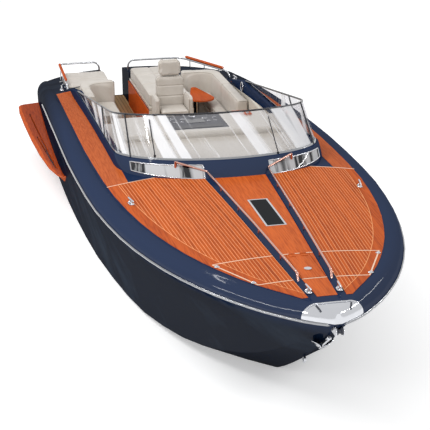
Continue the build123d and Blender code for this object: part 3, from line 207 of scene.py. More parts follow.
def glossed(finish, share, roughness):
    """Lays an even share of mirror over a plain shader, for paint and varnish seen at flat angles."""
    output = finish.node_tree.nodes["Material Output"]
    mirror = add(finish, "BsdfGlossy", in_Color=(1, 1, 1, 1), in_Roughness=roughness)
    both = add(finish, "MixShader")
    both.inputs[0].default_value = share
    join(finish, shader_of(finish).outputs[0], both.inputs[1])
    join(finish, mirror.outputs[0], both.inputs[2])
    join(finish, both.outputs[0], output.inputs["Surface"])
    bumped = shader_of(finish).inputs["Normal"]
    if bumped.is_linked:
        join(finish, bumped.links[0].from_socket, mirror.inputs["Normal"])


print("shader helpers ready")

# %% [markdown]
# Marine paint is a deep gloss: navy on the gunwale, darker on the topside, with soft lighter patches
# of painted reflection there. The topside is seen at very flat angles, where a plain clear coat would
# turn white, so the mirror is laid over the colour as an even share instead. A slight waviness softens
# its lines.

# %% Hull paint
paint_navy = (0.012, 0.025, 0.066)
paint_low = (0.003, 0.007, 0.018)
# The lighter colour of the topside's patches is a painted reflection of a bright surround.
paint_reflection_patch = (0.014, 0.024, 0.043)
paint_turn_low, paint_turn_high = 1.30, 1.56
paint_mirror = 0.022

navy_paint = new_finish("navy_paint", paint_navy, 0.5, Specular_IOR_Level=0.0)
height_here = add(navy_paint, "SeparateXYZ")
join(navy_paint, object_place(navy_paint), height_here.inputs[0])
paint_turn = add(navy_paint, "MapRange", in_From_Min=paint_turn_low, in_From_Max=paint_turn_high)
join(navy_paint, height_here.outputs["Z"], paint_turn.inputs["Value"])
# Soft lighter patches on the topside: painted reflections.
painted_reflection_patches = add(navy_paint, "MapRange", in_From_Min=0.50, in_From_Max=0.72)
join(navy_paint, noise(navy_paint, object_place(navy_paint, (1.3, 0.5, 0.9)), 1.1, 4, 0.55),
     painted_reflection_patches.inputs["Value"])
low_with_painted_reflections = blend_colour(navy_paint, painted_reflection_patches.outputs[0], paint_low, paint_reflection_patch)
join(navy_paint, blend_colour(navy_paint, paint_turn.outputs[0], low_with_painted_reflections, paint_navy),
     shader_of(navy_paint).inputs["Base Color"])
bump(navy_paint, noise(navy_paint, object_place(navy_paint, (0.5, 1, 1)), 3, 2), 0.35, 0.02)
glossed(navy_paint, paint_mirror, 0.07)
print("hull paint turns dark between", paint_turn_low, "and", paint_turn_high)

# %% [markdown]
# Varnished wood has three scales: each plank has its own tone, the grain runs along it in long
# streaks, and light caulking fills the seams. The planks of each side panel run parallel to the
# painted strip beside them, so a plank's number comes from the distance across, corrected by the
# strip's slope. A value stored on the panel says how far each place is from the panel's outer
# edge, where a plain margin plank takes over.

# %% Planking
strip_aft_x, strip_aft_y = 2.430, 0.390
strip_fore_x, strip_fore_y = 6.560, 0.140
strip_slope = (strip_aft_y - strip_fore_y) / (strip_fore_x - strip_aft_x)
plank_pitch = 0.039
caulk_width = 0.0055
margin_width = 0.15
varnish_mirror = 0.026
caulk_colour = (0.80, 0.33, 0.13)
plank_light = (0.52, 0.098, 0.016)
plank_dark = (0.30, 0.046, 0.009)
tone_share, grain_detail, grain_roughness = 0.28, 8, 0.62
dark_place, light_place = 0.36, 0.72
margin_line_share = 0.7
seam_bump, grain_height = 0.25, 0.3


def wood_colour(finish, place, tone, light, dark, grain_scale=7):
    """Streaky grain between two colours, shifted by a tone for each plank."""
    streaks = noise(finish, place, grain_scale, grain_detail, grain_roughness)
    level = sum_of(finish, "ADD", streaks, sum_of(finish, "MULTIPLY", tone, tone_share))
    return ramp(finish, level, (dark_place, dark), (light_place, light)), streaks


def planked(name, across_slope, pitch, width, light, dark, caulk, margin=0.0, gloss=0.22):
    """Planks with light seams between them, mirrored about the centreline."""
    finish = new_finish(name, light, gloss, Specular_IOR_Level=0.0)
    here = add(finish, "SeparateXYZ")
    join(finish, object_place(finish), here.inputs[0])
    outward = sum_of(finish, "ABSOLUTE", here.outputs["Y"])
    across = sum_of(finish, "ADD", outward, sum_of(finish, "MULTIPLY", here.outputs["X"], across_slope))
    count = sum_of(finish, "DIVIDE", across, pitch)
    within = sum_of(finish, "FRACT", count)
    plank_number = add(finish, "TexWhiteNoise", noise_dimensions="1D")
    join(finish, sum_of(finish, "FLOOR", count), plank_number.inputs["W"])
    grain_place = object_place(finish, (0.55, 9, 9))
    wood, streaks = wood_colour(finish, grain_place, plank_number.outputs["Value"], light, dark)
    seam = sum_of(finish, "LESS_THAN", within, width / pitch)
    if margin:
        edge = add(finish, "Attribute", attribute_name="margin")
        inside = sum_of(finish, "GREATER_THAN", edge.outputs["Fac"], margin)
        line = sum_of(finish, "COMPARE", edge.outputs["Fac"], margin, width * margin_line_share)
        seam = sum_of(finish, "MAXIMUM", sum_of(finish, "MULTIPLY", seam, inside), line)
    join(finish, blend_colour(finish, seam, wood, caulk), shader_of(finish).inputs["Base Color"])
    raised = sum_of(finish, "MULTIPLY", streaks, grain_height)
    bump(finish, sum_of(finish, "SUBTRACT", raised, seam), seam_bump, 0.002)
    glossed(finish, varnish_mirror, gloss)
    return finish


deck_planks = planked("deck_planks", strip_slope, plank_pitch, caulk_width, plank_light, plank_dark,
                      caulk_colour, margin_width)
sole_planks = planked("sole_planks", 0.0, 0.06, 0.006, (0.50, 0.30, 0.14), (0.34, 0.18, 0.08),
                      (0.03, 0.025, 0.02), gloss=0.45)
print("plank pitch", plank_pitch)

# %% [markdown]
# The centre panel, the side decks, the pods and the joinery are broad varnished boards with no
# caulking: the same streaky grain, deeper varnish.

# %% Varnished boards


def varnished(name, light, dark, stretch, gloss=0.14, scale=7):
    finish = new_finish(name, light, 0.5, Specular_IOR_Level=0.0)
    boards = noise(finish, object_place(finish, (0.2, 2.2, 2.2)), 1.6, 2)
    wood, streaks = wood_colour(finish, object_place(finish, stretch), boards, light, dark, scale)
    join(finish, wood, shader_of(finish).inputs["Base Color"])
    bump(finish, streaks, 0.08, 0.001)
    glossed(finish, varnish_mirror, gloss)
    return finish


centre_boards = varnished("centre_boards", (0.60, 0.125, 0.024), (0.34, 0.052, 0.010), (0.5, 10, 10), 0.2)
side_boards = varnished("side_boards", (0.52, 0.115, 0.028), (0.30, 0.050, 0.012), (0.5, 10, 10), 0.10)
mahogany = varnished("mahogany", (0.60, 0.105, 0.018), (0.28, 0.036, 0.007), (0.6, 8, 8), 0.12)
print("varnished boards ready")

# %% [markdown]
# Polished metal needs little: full metallic, low roughness and faint waviness. The windshield is
# thin bent glass, so it is a mix of a clear, a pale and a glossy shader and takes no time to
# refract. The pale shader paints streaks of reflection on it, which run round the nose and lean
# with the pane's slope.

# %% Metal, glass and moulded pieces
chrome = bumpy(new_finish("chrome_polish", (0.56, 0.57, 0.60), 0.09, Metallic=1.0), 14, 3, 0.25, 0.004)
bronze = bumpy(new_finish("bronze_cast", (0.58, 0.36, 0.15), 0.28, Metallic=1.0), 60, 3, 0.15, 0.001)
dark_metal = bumpy(new_finish("dark_metal", (0.035, 0.036, 0.042), 0.28, Metallic=0.6), 120, 2, 0.05, 0.001)
frame_metal = bumpy(new_finish("frame_metal", (0.30, 0.305, 0.32), 0.18, Metallic=1.0), 60, 2, 0.05, 0.001)
# The handrails' chrome is tinted warm pink: a painted reflection of the varnished wood around them.
rail_chrome_painted_wood_reflection = bumpy(new_finish("rail_chrome_painted_wood_reflection", (0.60, 0.36, 0.30), 0.14, Metallic=1.0), 20, 3, 0.15, 0.003)
engine_grey = bumpy(new_finish("engine_grey", (0.30, 0.32, 0.34), 0.4), 14, 4, 0.2, 0.01)
dark_plastic = bumpy(new_finish("dark_plastic", (0.022, 0.026, 0.040), 0.35), 400, 2, 0.2, 0.0005)
gelcoat = new_finish("gelcoat_cream", (0.66, 0.62, 0.55), 0.22, Coat_Weight=0.4, Coat_Roughness=0.08)
bumpy(gelcoat, 40, 3, 0.03, 0.002)
smoked_pane = new_finish("smoked_pane", (0.010, 0.012, 0.014), 0.3, Specular_IOR_Level=0.0)
bumpy(smoked_pane, 6, 1, 0.02, 0.002)
glossed(smoked_pane, 0.02, 0.05)


streak_layers = (
    # noise scale, detail and roughness, then where a streak starts, where it is full, and its share
    (1.0, 1, 0.3, 0, 0.07, 1),
    (5.0, 2, 0.5, 0.03, 0.16, 0.7),
)


def clear_glass(name, tint, mirror_share, painted_reflection_colour, streak_share, streak_place, clear_level):
    """A thin clear pane with a glossy face and pale streaks of painted reflection, as a curved pane shows a
    bright surround.
    """
    finish = bpy.data.materials.new(name)
    finish.use_nodes = True
    finish.node_tree.nodes.clear()
    clear = add(finish, "BsdfTransparent", in_Color=(*tint, 1))
    gloss = add(finish, "BsdfGlossy", in_Roughness=0.03)
    # A pale diffuse shader paints the streaks of reflection.
    painted_reflection = add(finish, "BsdfDiffuse", in_Color=(*painted_reflection_colour, 1))
    place = streak_place(finish)
    layers = []
    for scale, detail, mix, start, full, share in streak_layers:
        layer = add(finish, "MapRange", in_From_Min=clear_level + start,
                    in_From_Max=clear_level + full, in_To_Max=streak_share * share)
        join(finish, noise(finish, place, scale, detail, mix), layer.inputs["Value"])
        layers.append(layer.outputs[0])
    reflection_streak_mask = sum_of(finish, "MAXIMUM", *layers)
    streaked, faced = add(finish, "MixShader"), add(finish, "MixShader")
    faced.inputs[0].default_value = mirror_share
    output = add(finish, "OutputMaterial")
    for source, target in ((reflection_streak_mask, streaked.inputs[0]), (clear.outputs[0], streaked.inputs[1]),
                           (painted_reflection.outputs[0], streaked.inputs[2]), (streaked.outputs[0], faced.inputs[1]),
                           (gloss.outputs[0], faced.inputs[2]),
                           (faced.outputs[0], output.inputs["Surface"])):
        join(finish, source, target)
    return finish


nose_slope, nose_start = 1.337, -3.326
streaks_round, streak_lean, streak_stretch = 7.0, 3.2, 0.25


def round_the_nose(finish):
    """A place whose first number runs round the windshield's nose, so that streaks follow its slope."""
    here = add(finish, "SeparateXYZ")
    join(finish, object_place(finish), here.inputs[0])
    slope = sum_of(finish, "MULTIPLY_ADD", here.outputs["Z"], nose_slope, nose_start)
    ahead = sum_of(finish, "ADD", here.outputs["X"], slope)
    turn = sum_of(finish, "ARCTAN2", here.outputs["Y"], ahead)
    place = add(finish, "CombineXYZ")
    lean = sum_of(finish, "MULTIPLY", here.outputs["Z"], streak_lean)
    join(finish, sum_of(finish, "MULTIPLY_ADD", turn, streaks_round, lean), place.inputs["X"])
    join(finish, sum_of(finish, "MULTIPLY", here.outputs["Z"], streak_stretch), place.inputs["Z"])
    return place.outputs[0]


def across_the_pane(finish):
    return object_place(finish, (0.5, 7.0, 0.4))


# Both panes carry pale streaks that are painted reflections.
windshield_pane = clear_glass("windshield_pane", (0.87, 0.865, 0.875), 0.04, (0.95, 0.96, 0.98), 0.60,
                              round_the_nose, 0.56)
cabin_pane = clear_glass("cabin_pane", (0.25, 0.26, 0.28), 0.05, (0.60, 0.62, 0.64), 0.80,
                         across_the_pane, 0.45)
print("metal and glass ready")

# %% [markdown]
# Upholstery leather is soft and slightly mottled, with a fine pebbled grain that shows as bump.
# Contrast piping in a darker cream marks the seams.

# %% Leather
leather_roughness, leather_sheen = 0.46, 0.15
mottle_scale, pebble_scale = 5, 260
shade_place, clean_place = 0.3, 0.75


def leather(name, colour, shade):
    finish = new_finish(name, colour, leather_roughness, Specular_IOR_Level=0.4,
                        Sheen_Weight=leather_sheen)
    mottle = noise(finish, object_place(finish), mottle_scale, 4)
    join(finish, ramp(finish, mottle, (shade_place, shade), (clean_place, colour)),
         shader_of(finish).inputs["Base Color"])
    cells = add(finish, "TexVoronoi", in_Scale=pebble_scale)
    join(finish, object_place(finish), cells.inputs["Vector"])
    bump(finish, cells.outputs["Distance"], 0.18, 0.001)
    return finish


cream_leather = leather("cream_leather", (0.62, 0.575, 0.525), (0.54, 0.495, 0.44))
piping_leather = leather("piping_leather", (0.40, 0.36, 0.30), (0.34, 0.30, 0.25))
print("leather ready")

# %% [markdown]
# Every piece of the construction takes the finish of its record slot. Most keep their own mesh,
# and only the material on them changes.

# %% Finishes for the construction's own pieces
finish_of_slot = {
    "navy_gloss": navy_paint, "deck_wood": deck_planks, "mahogany": mahogany,
    "teak_sole": sole_planks, "chrome": chrome, "smoked_glass": smoked_pane,
    "dark_frame": dark_metal, "cream_leather": cream_leather, "cream_gelcoat": gelcoat,
    "dark_panel": dark_plastic, "engine_paint": engine_grey, "bronze": bronze,
}
finish_of_node = {
    "foredeck_planks_centre": centre_boards, "anchor_locker_lid": centre_boards,
    "side_decks": side_boards, "windshield_glass": windshield_pane,
    "coaming_windows": cabin_pane, "rub_rail": frame_metal, "windshield_sill": frame_metal,
    "handrails": rail_chrome_painted_wood_reflection,
}
for node_name, carried in frame["nodes"].items():
    wanted = finish_of_node.get(node_name, finish_of_slot[slot_of_node[node_name]])
    if not carried.material_slots:
        carried.data.materials.append(wanted)
    for place in carried.material_slots:
        place.material = wanted
print("finishes given to", len(frame["nodes"]), "nodes")

# %% [markdown]
# The hull and the deck are built of many ruled strips. In gloss their joints would show as facets,
# so each such piece gets a copy of its mesh with the doubles merged and the shading smoothed over
# small angles. The copy stands for the node, and the construction itself is left alone.

# %% Smoothed copies
merge_distance = 0.00005


def placed(name, data):
    """A new object with some mesh or lamp data, linked to the scene."""
    piece = bpy.data.objects.new(name, data)
    bpy.context.scene.collection.objects.link(piece)
    return piece


def fastened(piece, body, slot, replaces=()):
    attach(piece, body)
    if replaces:
        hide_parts(*replaces)
    return piece


def finish_piece(piece, node_name):
    """Fastens a piece to a node's body, and lets it stand for the node."""
    return fastened(piece, body_of_node[node_name], slot_of_node[node_name], (node_name,))


def made_plain(piece):
    """Keeps what a piece's modifiers make as its mesh, and drops the modifiers."""
    evaluated = piece.evaluated_get(bpy.context.evaluated_depsgraph_get())
    piece.data = bpy.data.meshes.new_from_object(evaluated)
    piece.modifiers.clear()


def surface_of(mesh):
    """A mesh that rays can be cast onto."""
    return BVHTree.FromPolygons([v.co for v in mesh.vertices], [tuple(p.vertices) for p in mesh.polygons])


def merged_copy(node_name, name):
    """A new object with a node's mesh, its doubles merged and its stored normals dropped."""
    mesh = frame["nodes"][node_name].data.copy()
    mesh.name = name
    if "custom_normal" in mesh.attributes:
        mesh.attributes.remove(mesh.attributes["custom_normal"])
    shape = bmesh.new()
    shape.from_mesh(mesh)
    bmesh.ops.remove_doubles(shape, verts=shape.verts, dist=merge_distance)
    shape.to_mesh(mesh)
    shape.free()
    return placed(name, mesh)


def smoothed(node_name, angle):
    piece = merged_copy(node_name, node_name + "_smooth")
    piece.data.shade_smooth()
    piece.data.set_sharp_from_angle(angle=math.radians(angle))
    return finish_piece(piece, node_name)


smooth_pieces = {}
for node_name, angle in (("hull", 22), ("foredeck_planks", 20), ("foredeck_planks_centre", 20),
                         ("side_decks", 30), ("anchor_locker_lid", 20), ("bow_plate", 30),
                         ("rub_rail", 40), ("coaming", 25), ("side_pods", 28), ("handrails", 40),
                         ("stern_rails", 40), ("windshield_sill", 30),
                         ("dash", 30), ("seat_bases", 30), ("swim_platform", 30)):
    smooth_pieces[node_name] = smoothed(node_name, angle)
print("smoothed:", ", ".join(smooth_pieces))

# %% [markdown]
# The moulding inside the cockpit is cream, and only its outside is painted. The side pods have a
# rounded lip, a top behind it coloured darker and redder as painted shade in its recess, and two
# slots that taper towards the stern, coloured dark as painted shade inside them.

# %% Faces of the well and of the side pods
pod_stations = ((-5.480, 0.300), (-5.430, 0.362), (-5.200, 0.372), (-4.600, 0.338), (-3.900, 0.290),
                (-3.200, 0.232), (-2.500, 0.160), (-2.000, 0.084), (-1.650, 0.034), (-1.400, 0.008))
pod_step, lip_share, least_reach = 0.02, 0.13, 0.01
slot_rows = ((-4.950, 0.58, -2.650, 0.40), (-3.900, 0.66, -2.250, 0.44))
slot_aft_width, slot_widening = 0.009, 0.012
slot_reach = 0.003
well_low, well_high = (-4.95, -1.50, 0.15), (1.9, 1.50, 1.62)
facing_in, facing_along, facing_up, facing_down = 0.2, 0.7, 0.2, -0.5

hull_skin = smooth_pieces["hull"].data
hull_skin.materials.append(gelcoat)
inner = 0
for face in hull_skin.polygons:
    middle, normal = face.center, face.normal
    if not all(low < place < high for low, place, high in zip(well_low, middle, well_high)):
        continue
    if normal.y * math.copysign(1, middle.y) < -facing_in or abs(normal.x) > facing_along:
        face.material_index = len(hull_skin.materials) - 1
        inner += 1


def between(rows, x):
    """A value at a place, on straight lines through rows of place and value."""
    for (x0, v0), (x1, v1) in zip(rows, rows[1:]):
        if x <= x1:
            return v0 + (v1 - v0) * min(max((x - x0) / (x1 - x0), 0), 1)
    return rows[-1][1]


pod_skin = smooth_pieces["side_pods"].data
# The recessed top is coloured darker and redder: painted shade in the recess.
pod_skin.materials.append(varnished("pod_top_painted_shade", (0.40, 0.060, 0.012), (0.20, 0.024, 0.006), (0.5, 8, 8), 0.14))
# Dark faces paint the shade inside the two slots.
pod_skin.materials.append(dark_plastic)
shaded_top_index = len(pod_skin.materials) - 2
lip_rows = []
for station, _ in pod_stations:
    out = [abs(v.co.y) for v in pod_skin.vertices if abs(v.co.x - station) < 0.003]
    lip_rows.append((station, max(out, default=0.0)))
slot_shade_faces = 0
for face in pod_skin.polygons:
    middle = face.center
    step = round((middle.x - pod_stations[0][0]) / pod_step)
    lip = between(lip_rows, pod_stations[0][0] + pod_step * step)
    reach = between(pod_stations, middle.x)
    inset = (lip - abs(middle.y)) / max(reach, least_reach)
    if face.normal.z > facing_up and inset > lip_share:
        face.material_index = shaded_top_index
    for aft_x, aft_share, fore_x, fore_share in slot_rows:
        if not aft_x - 0.01 < middle.x < fore_x + 0.01:
            continue
        along = min(max((middle.x - aft_x) / (fore_x - aft_x), 0), 1)
        wanted = 1 - (aft_share + (fore_share - aft_share) * along)
        half_width = (slot_aft_width + slot_widening * along) / 2 + slot_reach
        if abs(inset - wanted) * reach < half_width and face.normal.z > facing_down:
            face.material_index = shaded_top_index + 1
            slot_shade_faces += 1
print("inner faces of the hull:", inner, "slot faces:", slot_shade_faces)

# %% [markdown]
# The deck's outline comes from the same short table of offsets as the hull: places along the hull,
# and the half breadth and height of the rail there. From it come the deck's edge and its crown, so
# that everything laid on the deck follows it.

# %% The deck's surface
hull_length, stern_x = 13.1, -6.4
half_beam, freeboard = 1.94, 1.453
gunwale_width, gunwale_rise = 0.226, 0.165
offset_shares = [
    # along, rail_y, rail_z, gunwale width, gunwale rise
    (0.0000, 0.952, 0.655, 1.00, 1.00),
    (0.1680, 0.975, 0.828, 1.00, 1.00),
    (0.3590, 0.998, 0.951, 1.00, 1.00),
    (0.5570, 0.995, 1.018, 1.00, 1.00),
    (0.6950, 0.940, 1.045, 1.00, 1.00),
    (0.7940, 0.824, 1.061, 1.00, 1.00),
    (0.8700, 0.659, 1.073, 1.00, 1.00),
    (0.9310, 0.450, 1.084, 1.00, 1.00),
    (0.9690, 0.261, 1.092, 1.00, 1.00),
    (0.9920, 0.096, 1.097, 0.49, 0.95),
    (0.9992, 0.018, 1.099, 0.09, 0.75),
]
low_crown_share, full_crown_share = 0.010, 0.089
plank_proud = 0.004


def faired(along):
    """A row of the table at any place, on a smooth curve through its rows."""
    places = [row[0] for row in offset_shares]
    spans = [b - a for a, b in zip(places, places[1:])]
    at = max(i for i in range(len(spans)) if i == 0 or places[i] <= along)
    t = (along - places[at]) / spans[at]
    row = []
    for column in range(1, len(offset_shares[0])):
        values = [line[column] for line in offset_shares]
        slopes = [(b - a) / span for a, b, span in zip(values, values[1:], spans)]
        ends = []
        for i in (at, at + 1):
            before, after = slopes[max(i - 1, 0)], slopes[min(i, len(slopes) - 1)]
            near, far = spans[max(i - 1, 0)], spans[min(i, len(spans) - 1)]
            ends.append((before * far + after * near) / (near + far) * spans[at])
        row.append(values[at] * (1 - t) ** 2 * (1 + 2 * t) + values[at + 1] * t ** 2 * (3 - 2 * t)
                   + ends[0] * t * (1 - t) ** 2 - ends[1] * t ** 2 * (1 - t))
    return row


def deck_edge(x):
    """Half breadth and height of the deck's edge."""
    rail_y, rail_z, width, rise = faired((x - stern_x) / hull_length)
    return half_beam * rail_y - gunwale_width * width, freeboard * rail_z + gunwale_rise * rise


def deck_z(x, y):
    half, edge_z = deck_edge(x)
    crown = half * (low_crown_share + full_crown_share * half / half_beam)
    return edge_z + crown * (1 - (y / half) ** 2)


def strip_y(x):
    """Distance of a painted strip's middle from the centreline."""
    return strip_aft_y - (x - strip_aft_x) * strip_slope


panel = smooth_pieces["foredeck_planks"]
margin_values = panel.data.attributes.new("margin", "FLOAT", "POINT")
for vertex in panel.data.vertices:
    margin_values.data[vertex.index].value = deck_edge(vertex.co.x)[0] - abs(vertex.co.y)
print("deck at x = 3:", round(deck_z(3, 0), 3), "edge", [round(v, 3) for v in deck_edge(3)])

# %% [markdown]
# What follows a path is swept by one small Geometry Nodes tree: it turns a chain of points into a
# curve, gives the curve a flat or a round section, and sets its material. The sizes are named
# inputs, and each result is baked to a plain mesh before it is fastened to its body.

# %% A tree for flat inlays and round bars
bar_sides = 10


def new_tree(name, **inputs):
    """A geometry tree with named inputs, and the nodes for what goes in and what comes out."""
    tree = bpy.data.node_groups.new(name, "GeometryNodeTree")
    for socket, kind in {"Geometry": "Geometry", **inputs}.items():
        tree.interface.new_socket(socket, in_out="INPUT", socket_type="NodeSocket" + kind)
    tree.interface.new_socket("Geometry", in_out="OUTPUT", socket_type="NodeSocketGeometry")
    return tree, tree.nodes.new("NodeGroupInput"), tree.nodes.new("NodeGroupOutput")


def wired(tree, *joins):
    """Joins named sockets: each row is a node and its output, then a node and its input."""
    for source, output, target, into in joins:
        tree.links.new(source.outputs[output], target.inputs[into])


def path_tree(name, is_round):
    tree, given, result = new_tree(name, Width="Float", Height="Float", Finish="Material")
    line = tree.nodes.new("GeometryNodeMeshToCurve")
    normal = tree.nodes.new("GeometryNodeSetCurveNormal")
    normal.mode = "MINIMUM_TWIST" if is_round else "Z_UP"
    sweep = tree.nodes.new("GeometryNodeCurveToMesh")
    sweep.inputs["Fill Caps"].default_value = True
    if is_round:
        section = tree.nodes.new("GeometryNodeCurvePrimitiveCircle")
        section.inputs["Resolution"].default_value = bar_sides
        wired(tree, (given, "Width", section, "Radius"))
    else:
        section = tree.nodes.new("GeometryNodeCurvePrimitiveQuadrilateral")
        wired(tree, (given, "Width", section, "Width"), (given, "Height", section, "Height"))
    finish = tree.nodes.new("GeometryNodeSetMaterial")
    real = tree.nodes.new("GeometryNodeRealizeInstances")
    wired(tree, (given, "Geometry", line, "Mesh"), (line, "Curve", normal, "Curve"),
          (normal, "Curve", sweep, "Curve"), (section, "Curve", sweep, "Profile Curve"),
          (sweep, "Mesh", real, "Geometry"), (real, "Geometry", finish, "Geometry"),
          (given, "Finish", finish, "Material"), (finish, "Geometry", result, "Geometry"))
    return tree


inlay_tree = path_tree("flat inlay", False)
bar_tree = path_tree("round bar", True)
swept_sharp = 40


def grown(piece, tree, inputs):
    """Runs a tree with its named inputs on a piece, and keeps the result as a plain mesh."""
    modifier = piece.modifiers.new("made", "NODES")
    modifier.node_group = tree
    for item in tree.interface.items_tree:
        if item.in_out == "INPUT" and item.name in inputs:
            modifier[item.identifier] = inputs[item.name]
    made_plain(piece)


def baked(name, chains, tree, inputs, body, slot, replaces=()):
    """Runs a tree on chains of points, and fastens the result to a body."""
    points, edges = [], []
    for chain in chains:
        start = len(points)
        points += [tuple(point) for point in chain]
        edges += [(start + i, start + i + 1) for i in range(len(chain) - 1)]
    mesh = bpy.data.meshes.new(name)
    mesh.from_pydata(points, edges, [])
    piece = placed(name, mesh)
    grown(piece, tree, inputs)
    piece.data.shade_smooth()
    piece.data.set_sharp_from_angle(angle=math.radians(swept_sharp))
    return fastened(piece, body, slot, replaces)


def along_deck(points, lift, steps=14):
    """A chain of points on the planking, through a few plan positions."""
    chain = []
    for (x0, y0), (x1, y1) in zip(points, points[1:]):
        for step in range(steps):
            share = step / steps
            x, y = x0 + (x1 - x0) * share, y0 + (y1 - y0) * share
            chain.append((x, y, deck_z(x, y) + plank_proud + lift))
    x, y = points[-1]
    chain.append((x, y, deck_z(x, y) + plank_proud + lift))
    return chain


print("path trees ready")

# %% [markdown]
# Light inlays divide the foredeck: one beside the windshield on each side, two right across ahead
# of the deck light, and a slanting one at each end of those.

# %% Inlays of the foredeck
inlay = new_finish("inlay_light", (0.80, 0.52, 0.33), 0.3, Coat_Weight=0.5)
bump(inlay, noise(inlay, object_place(inlay, (2, 30, 30)), 10, 3), 0.1, 0.001)
inlay_width, inlay_height, inlay_lift = 0.016, 0.003, 0.0005
half_strip = 0.048
cross_ends = ((5.12, 0.95), (5.82, 0.61))
inlay_lines = []
for x, half in cross_ends:
    inlay_lines += [[(x, side * half), (x, side * (strip_y(x) + half_strip))] for side in (1, -1)]
    inlay_lines.append([(x, -strip_y(x) + half_strip), (x, strip_y(x) - half_strip)])
for side in (1, -1):
    inlay_lines.append([(x, side * half) for x, half in cross_ends])
    inlay_lines.append([(1.975, side * 1.04), (1.965, side * 1.66)])
baked("deck_inlays", [along_deck(line, inlay_lift) for line in inlay_lines], inlay_tree,
      {"Width": inlay_width, "Height": inlay_height, "Finish": inlay}, "boat", "deck_wood")
print("inlays:", len(inlay_lines))

# %% [markdown]
# Turned and moulded fittings are gathered as rings of points: a skin over the rings, capped at its
# ends. A turned part is a row of round rings along an axis, and a moulded one a row of rounded
# rectangles. Each part of a fitting keeps its own finish.

# %% A gatherer of shapes
FORE, AFT, PORT, UP, DOWN = (1, 0, 0), (-1, 0, 0), (0, 1, 0), (0, 0, 1), (0, 0, -1)
corner_steps = 4


class Shape:
    """Points and faces of one piece, gathered part by part."""

    def __init__(self, name):
        self.name = name
        self.points, self.faces, self.numbers, self.finishes = [], [], [], []

    def rings(self, rings, finish):
        """A skin over rings of equal count, with its ends capped."""
        if finish not in self.finishes:
            self.finishes.append(finish)
        start, count = len(self.points), len(rings[0])
        for ring in rings:
            self.points += [tuple(point) for point in ring]
        for row in range(len(rings) - 1):
            for i in range(count):
                near, far = start + row * count, start + (row + 1) * count
                after = (i + 1) % count
                self.faces.append((near + i, near + after, far + after, far + i))
        last = start + (len(rings) - 1) * count
        self.faces.append(tuple(start + i for i in reversed(range(count))))
        self.faces.append(tuple(last + i for i in range(count)))
        made = len(self.faces) - len(self.numbers)
        self.numbers += [self.finishes.index(finish)] * made

    def lathe(self, base, axis, profile, finish, sides=20):
        """Round rings along an axis: the profile gives each one's distance along it and radius."""
        axis = Vector(axis).normalized()
        across = axis.orthogonal().normalized()
        other = axis.cross(across)
        turns = [2 * math.pi * i / sides for i in range(sides)]
        self.rings([[Vector(base) + axis * along + (across * math.cos(t) + other * math.sin(t)) * radius
                     for t in turns] for along, radius in profile], finish)

    def slab(self, middle, x_way, y_way, size, finish, round_share=0.3, edge=0.15):
        """A plate with round corners and softened rims; size is length, width and thickness."""
        x_way, y_way = Vector(x_way).normalized(), Vector(y_way).normalized()
        up_way = x_way.cross(y_way)
        length, width, thick = size
        corner = round_share * min(length, width)
        soft = edge * thick
        rings = []
        half = thick / 2
        for lift, inset in ((-half, soft), (soft - half, 0), (half - soft, 0), (half, soft)):
            ring = []
            for quarter, (sx, sy) in enumerate(((1, 1), (-1, 1), (-1, -1), (1, -1))):
                for step in range(corner_steps + 1):
                    turn = math.pi / 2 * (quarter + step / corner_steps)
                    px = sx * (length / 2 - corner) + (corner - inset) * math.cos(turn)
                    py = sy * (width / 2 - corner) + (corner - inset) * math.sin(turn)
                    ring.append(Vector(middle) + x_way * px + y_way * py + up_way * lift)
            rings.append(ring)
        self.rings(rings, finish)

    def finished(self, body, slot, replaces=(), sharp=35):
        mesh = bpy.data.meshes.new(self.name)
        mesh.from_pydata(self.points, [], self.faces)
        for finish in self.finishes:
            mesh.materials.append(finish)
        mesh.polygons.foreach_set("material_index", self.numbers)
        shape = bmesh.new()
        shape.from_mesh(mesh)
        bmesh.ops.recalc_face_normals(shape, faces=shape.faces)
        shape.to_mesh(mesh)
        shape.free()
        mesh.shade_smooth()
        mesh.set_sharp_from_angle(angle=math.radians(sharp))
        return fastened(placed(self.name, mesh), body, slot, replaces)


print("shape gatherer ready")

# %% [markdown]
# Every cushion is a filled cover. It starts as its solid, drawn in a little on all sides, is given
# an even net of faces, and is then blown up as cloth with its air inside. How far a point may move
# is capped, and it stays flat where it rests. One subdivision smooths it. Seams are pressed in
# afterwards, where channels are sewn, and piping is laid round the edges of the cover last.

# %% Cushions


def loops_at(piece, place, normal, spacing):
    """Closed chains of points where a plane cuts a piece, thinned to a spacing."""
    shape = bmesh.new()
    shape.from_mesh(piece.data)
    parts = list(shape.verts) + list(shape.edges) + list(shape.faces)
    cut = bmesh.ops.bisect_plane(shape, geom=parts, plane_co=place, plane_no=normal)["geom_cut"]
    near = {}
    for edge in cut:
        if isinstance(edge, bmesh.types.BMEdge):
            for a, b in (edge.verts, reversed(edge.verts)):
                near.setdefault(a, []).append(b)
    chains, used = [], set()
    for first in near:
        if first in used:
            continue
        chain, here = [], first
        while here is not None:
            used.add(here)
            chain.append(here.co.copy())
            here = next((other for other in near[here] if other not in used), None)
        thin = [chain[0]]
        for point in chain[1:]:
            if (point - thin[-1]).length > spacing:
                thin.append(point)
        count = len(thin)
        if count > 8:
            eased = [(thin[i - 1] + thin[i] * 2 + thin[(i + 1) % count]) / 4 for i in range(count)]
            chains.append(eased + eased[:1])
    shape.free()
    return chains


fill_frames = 20
cloth_quality = air_pressure = 4


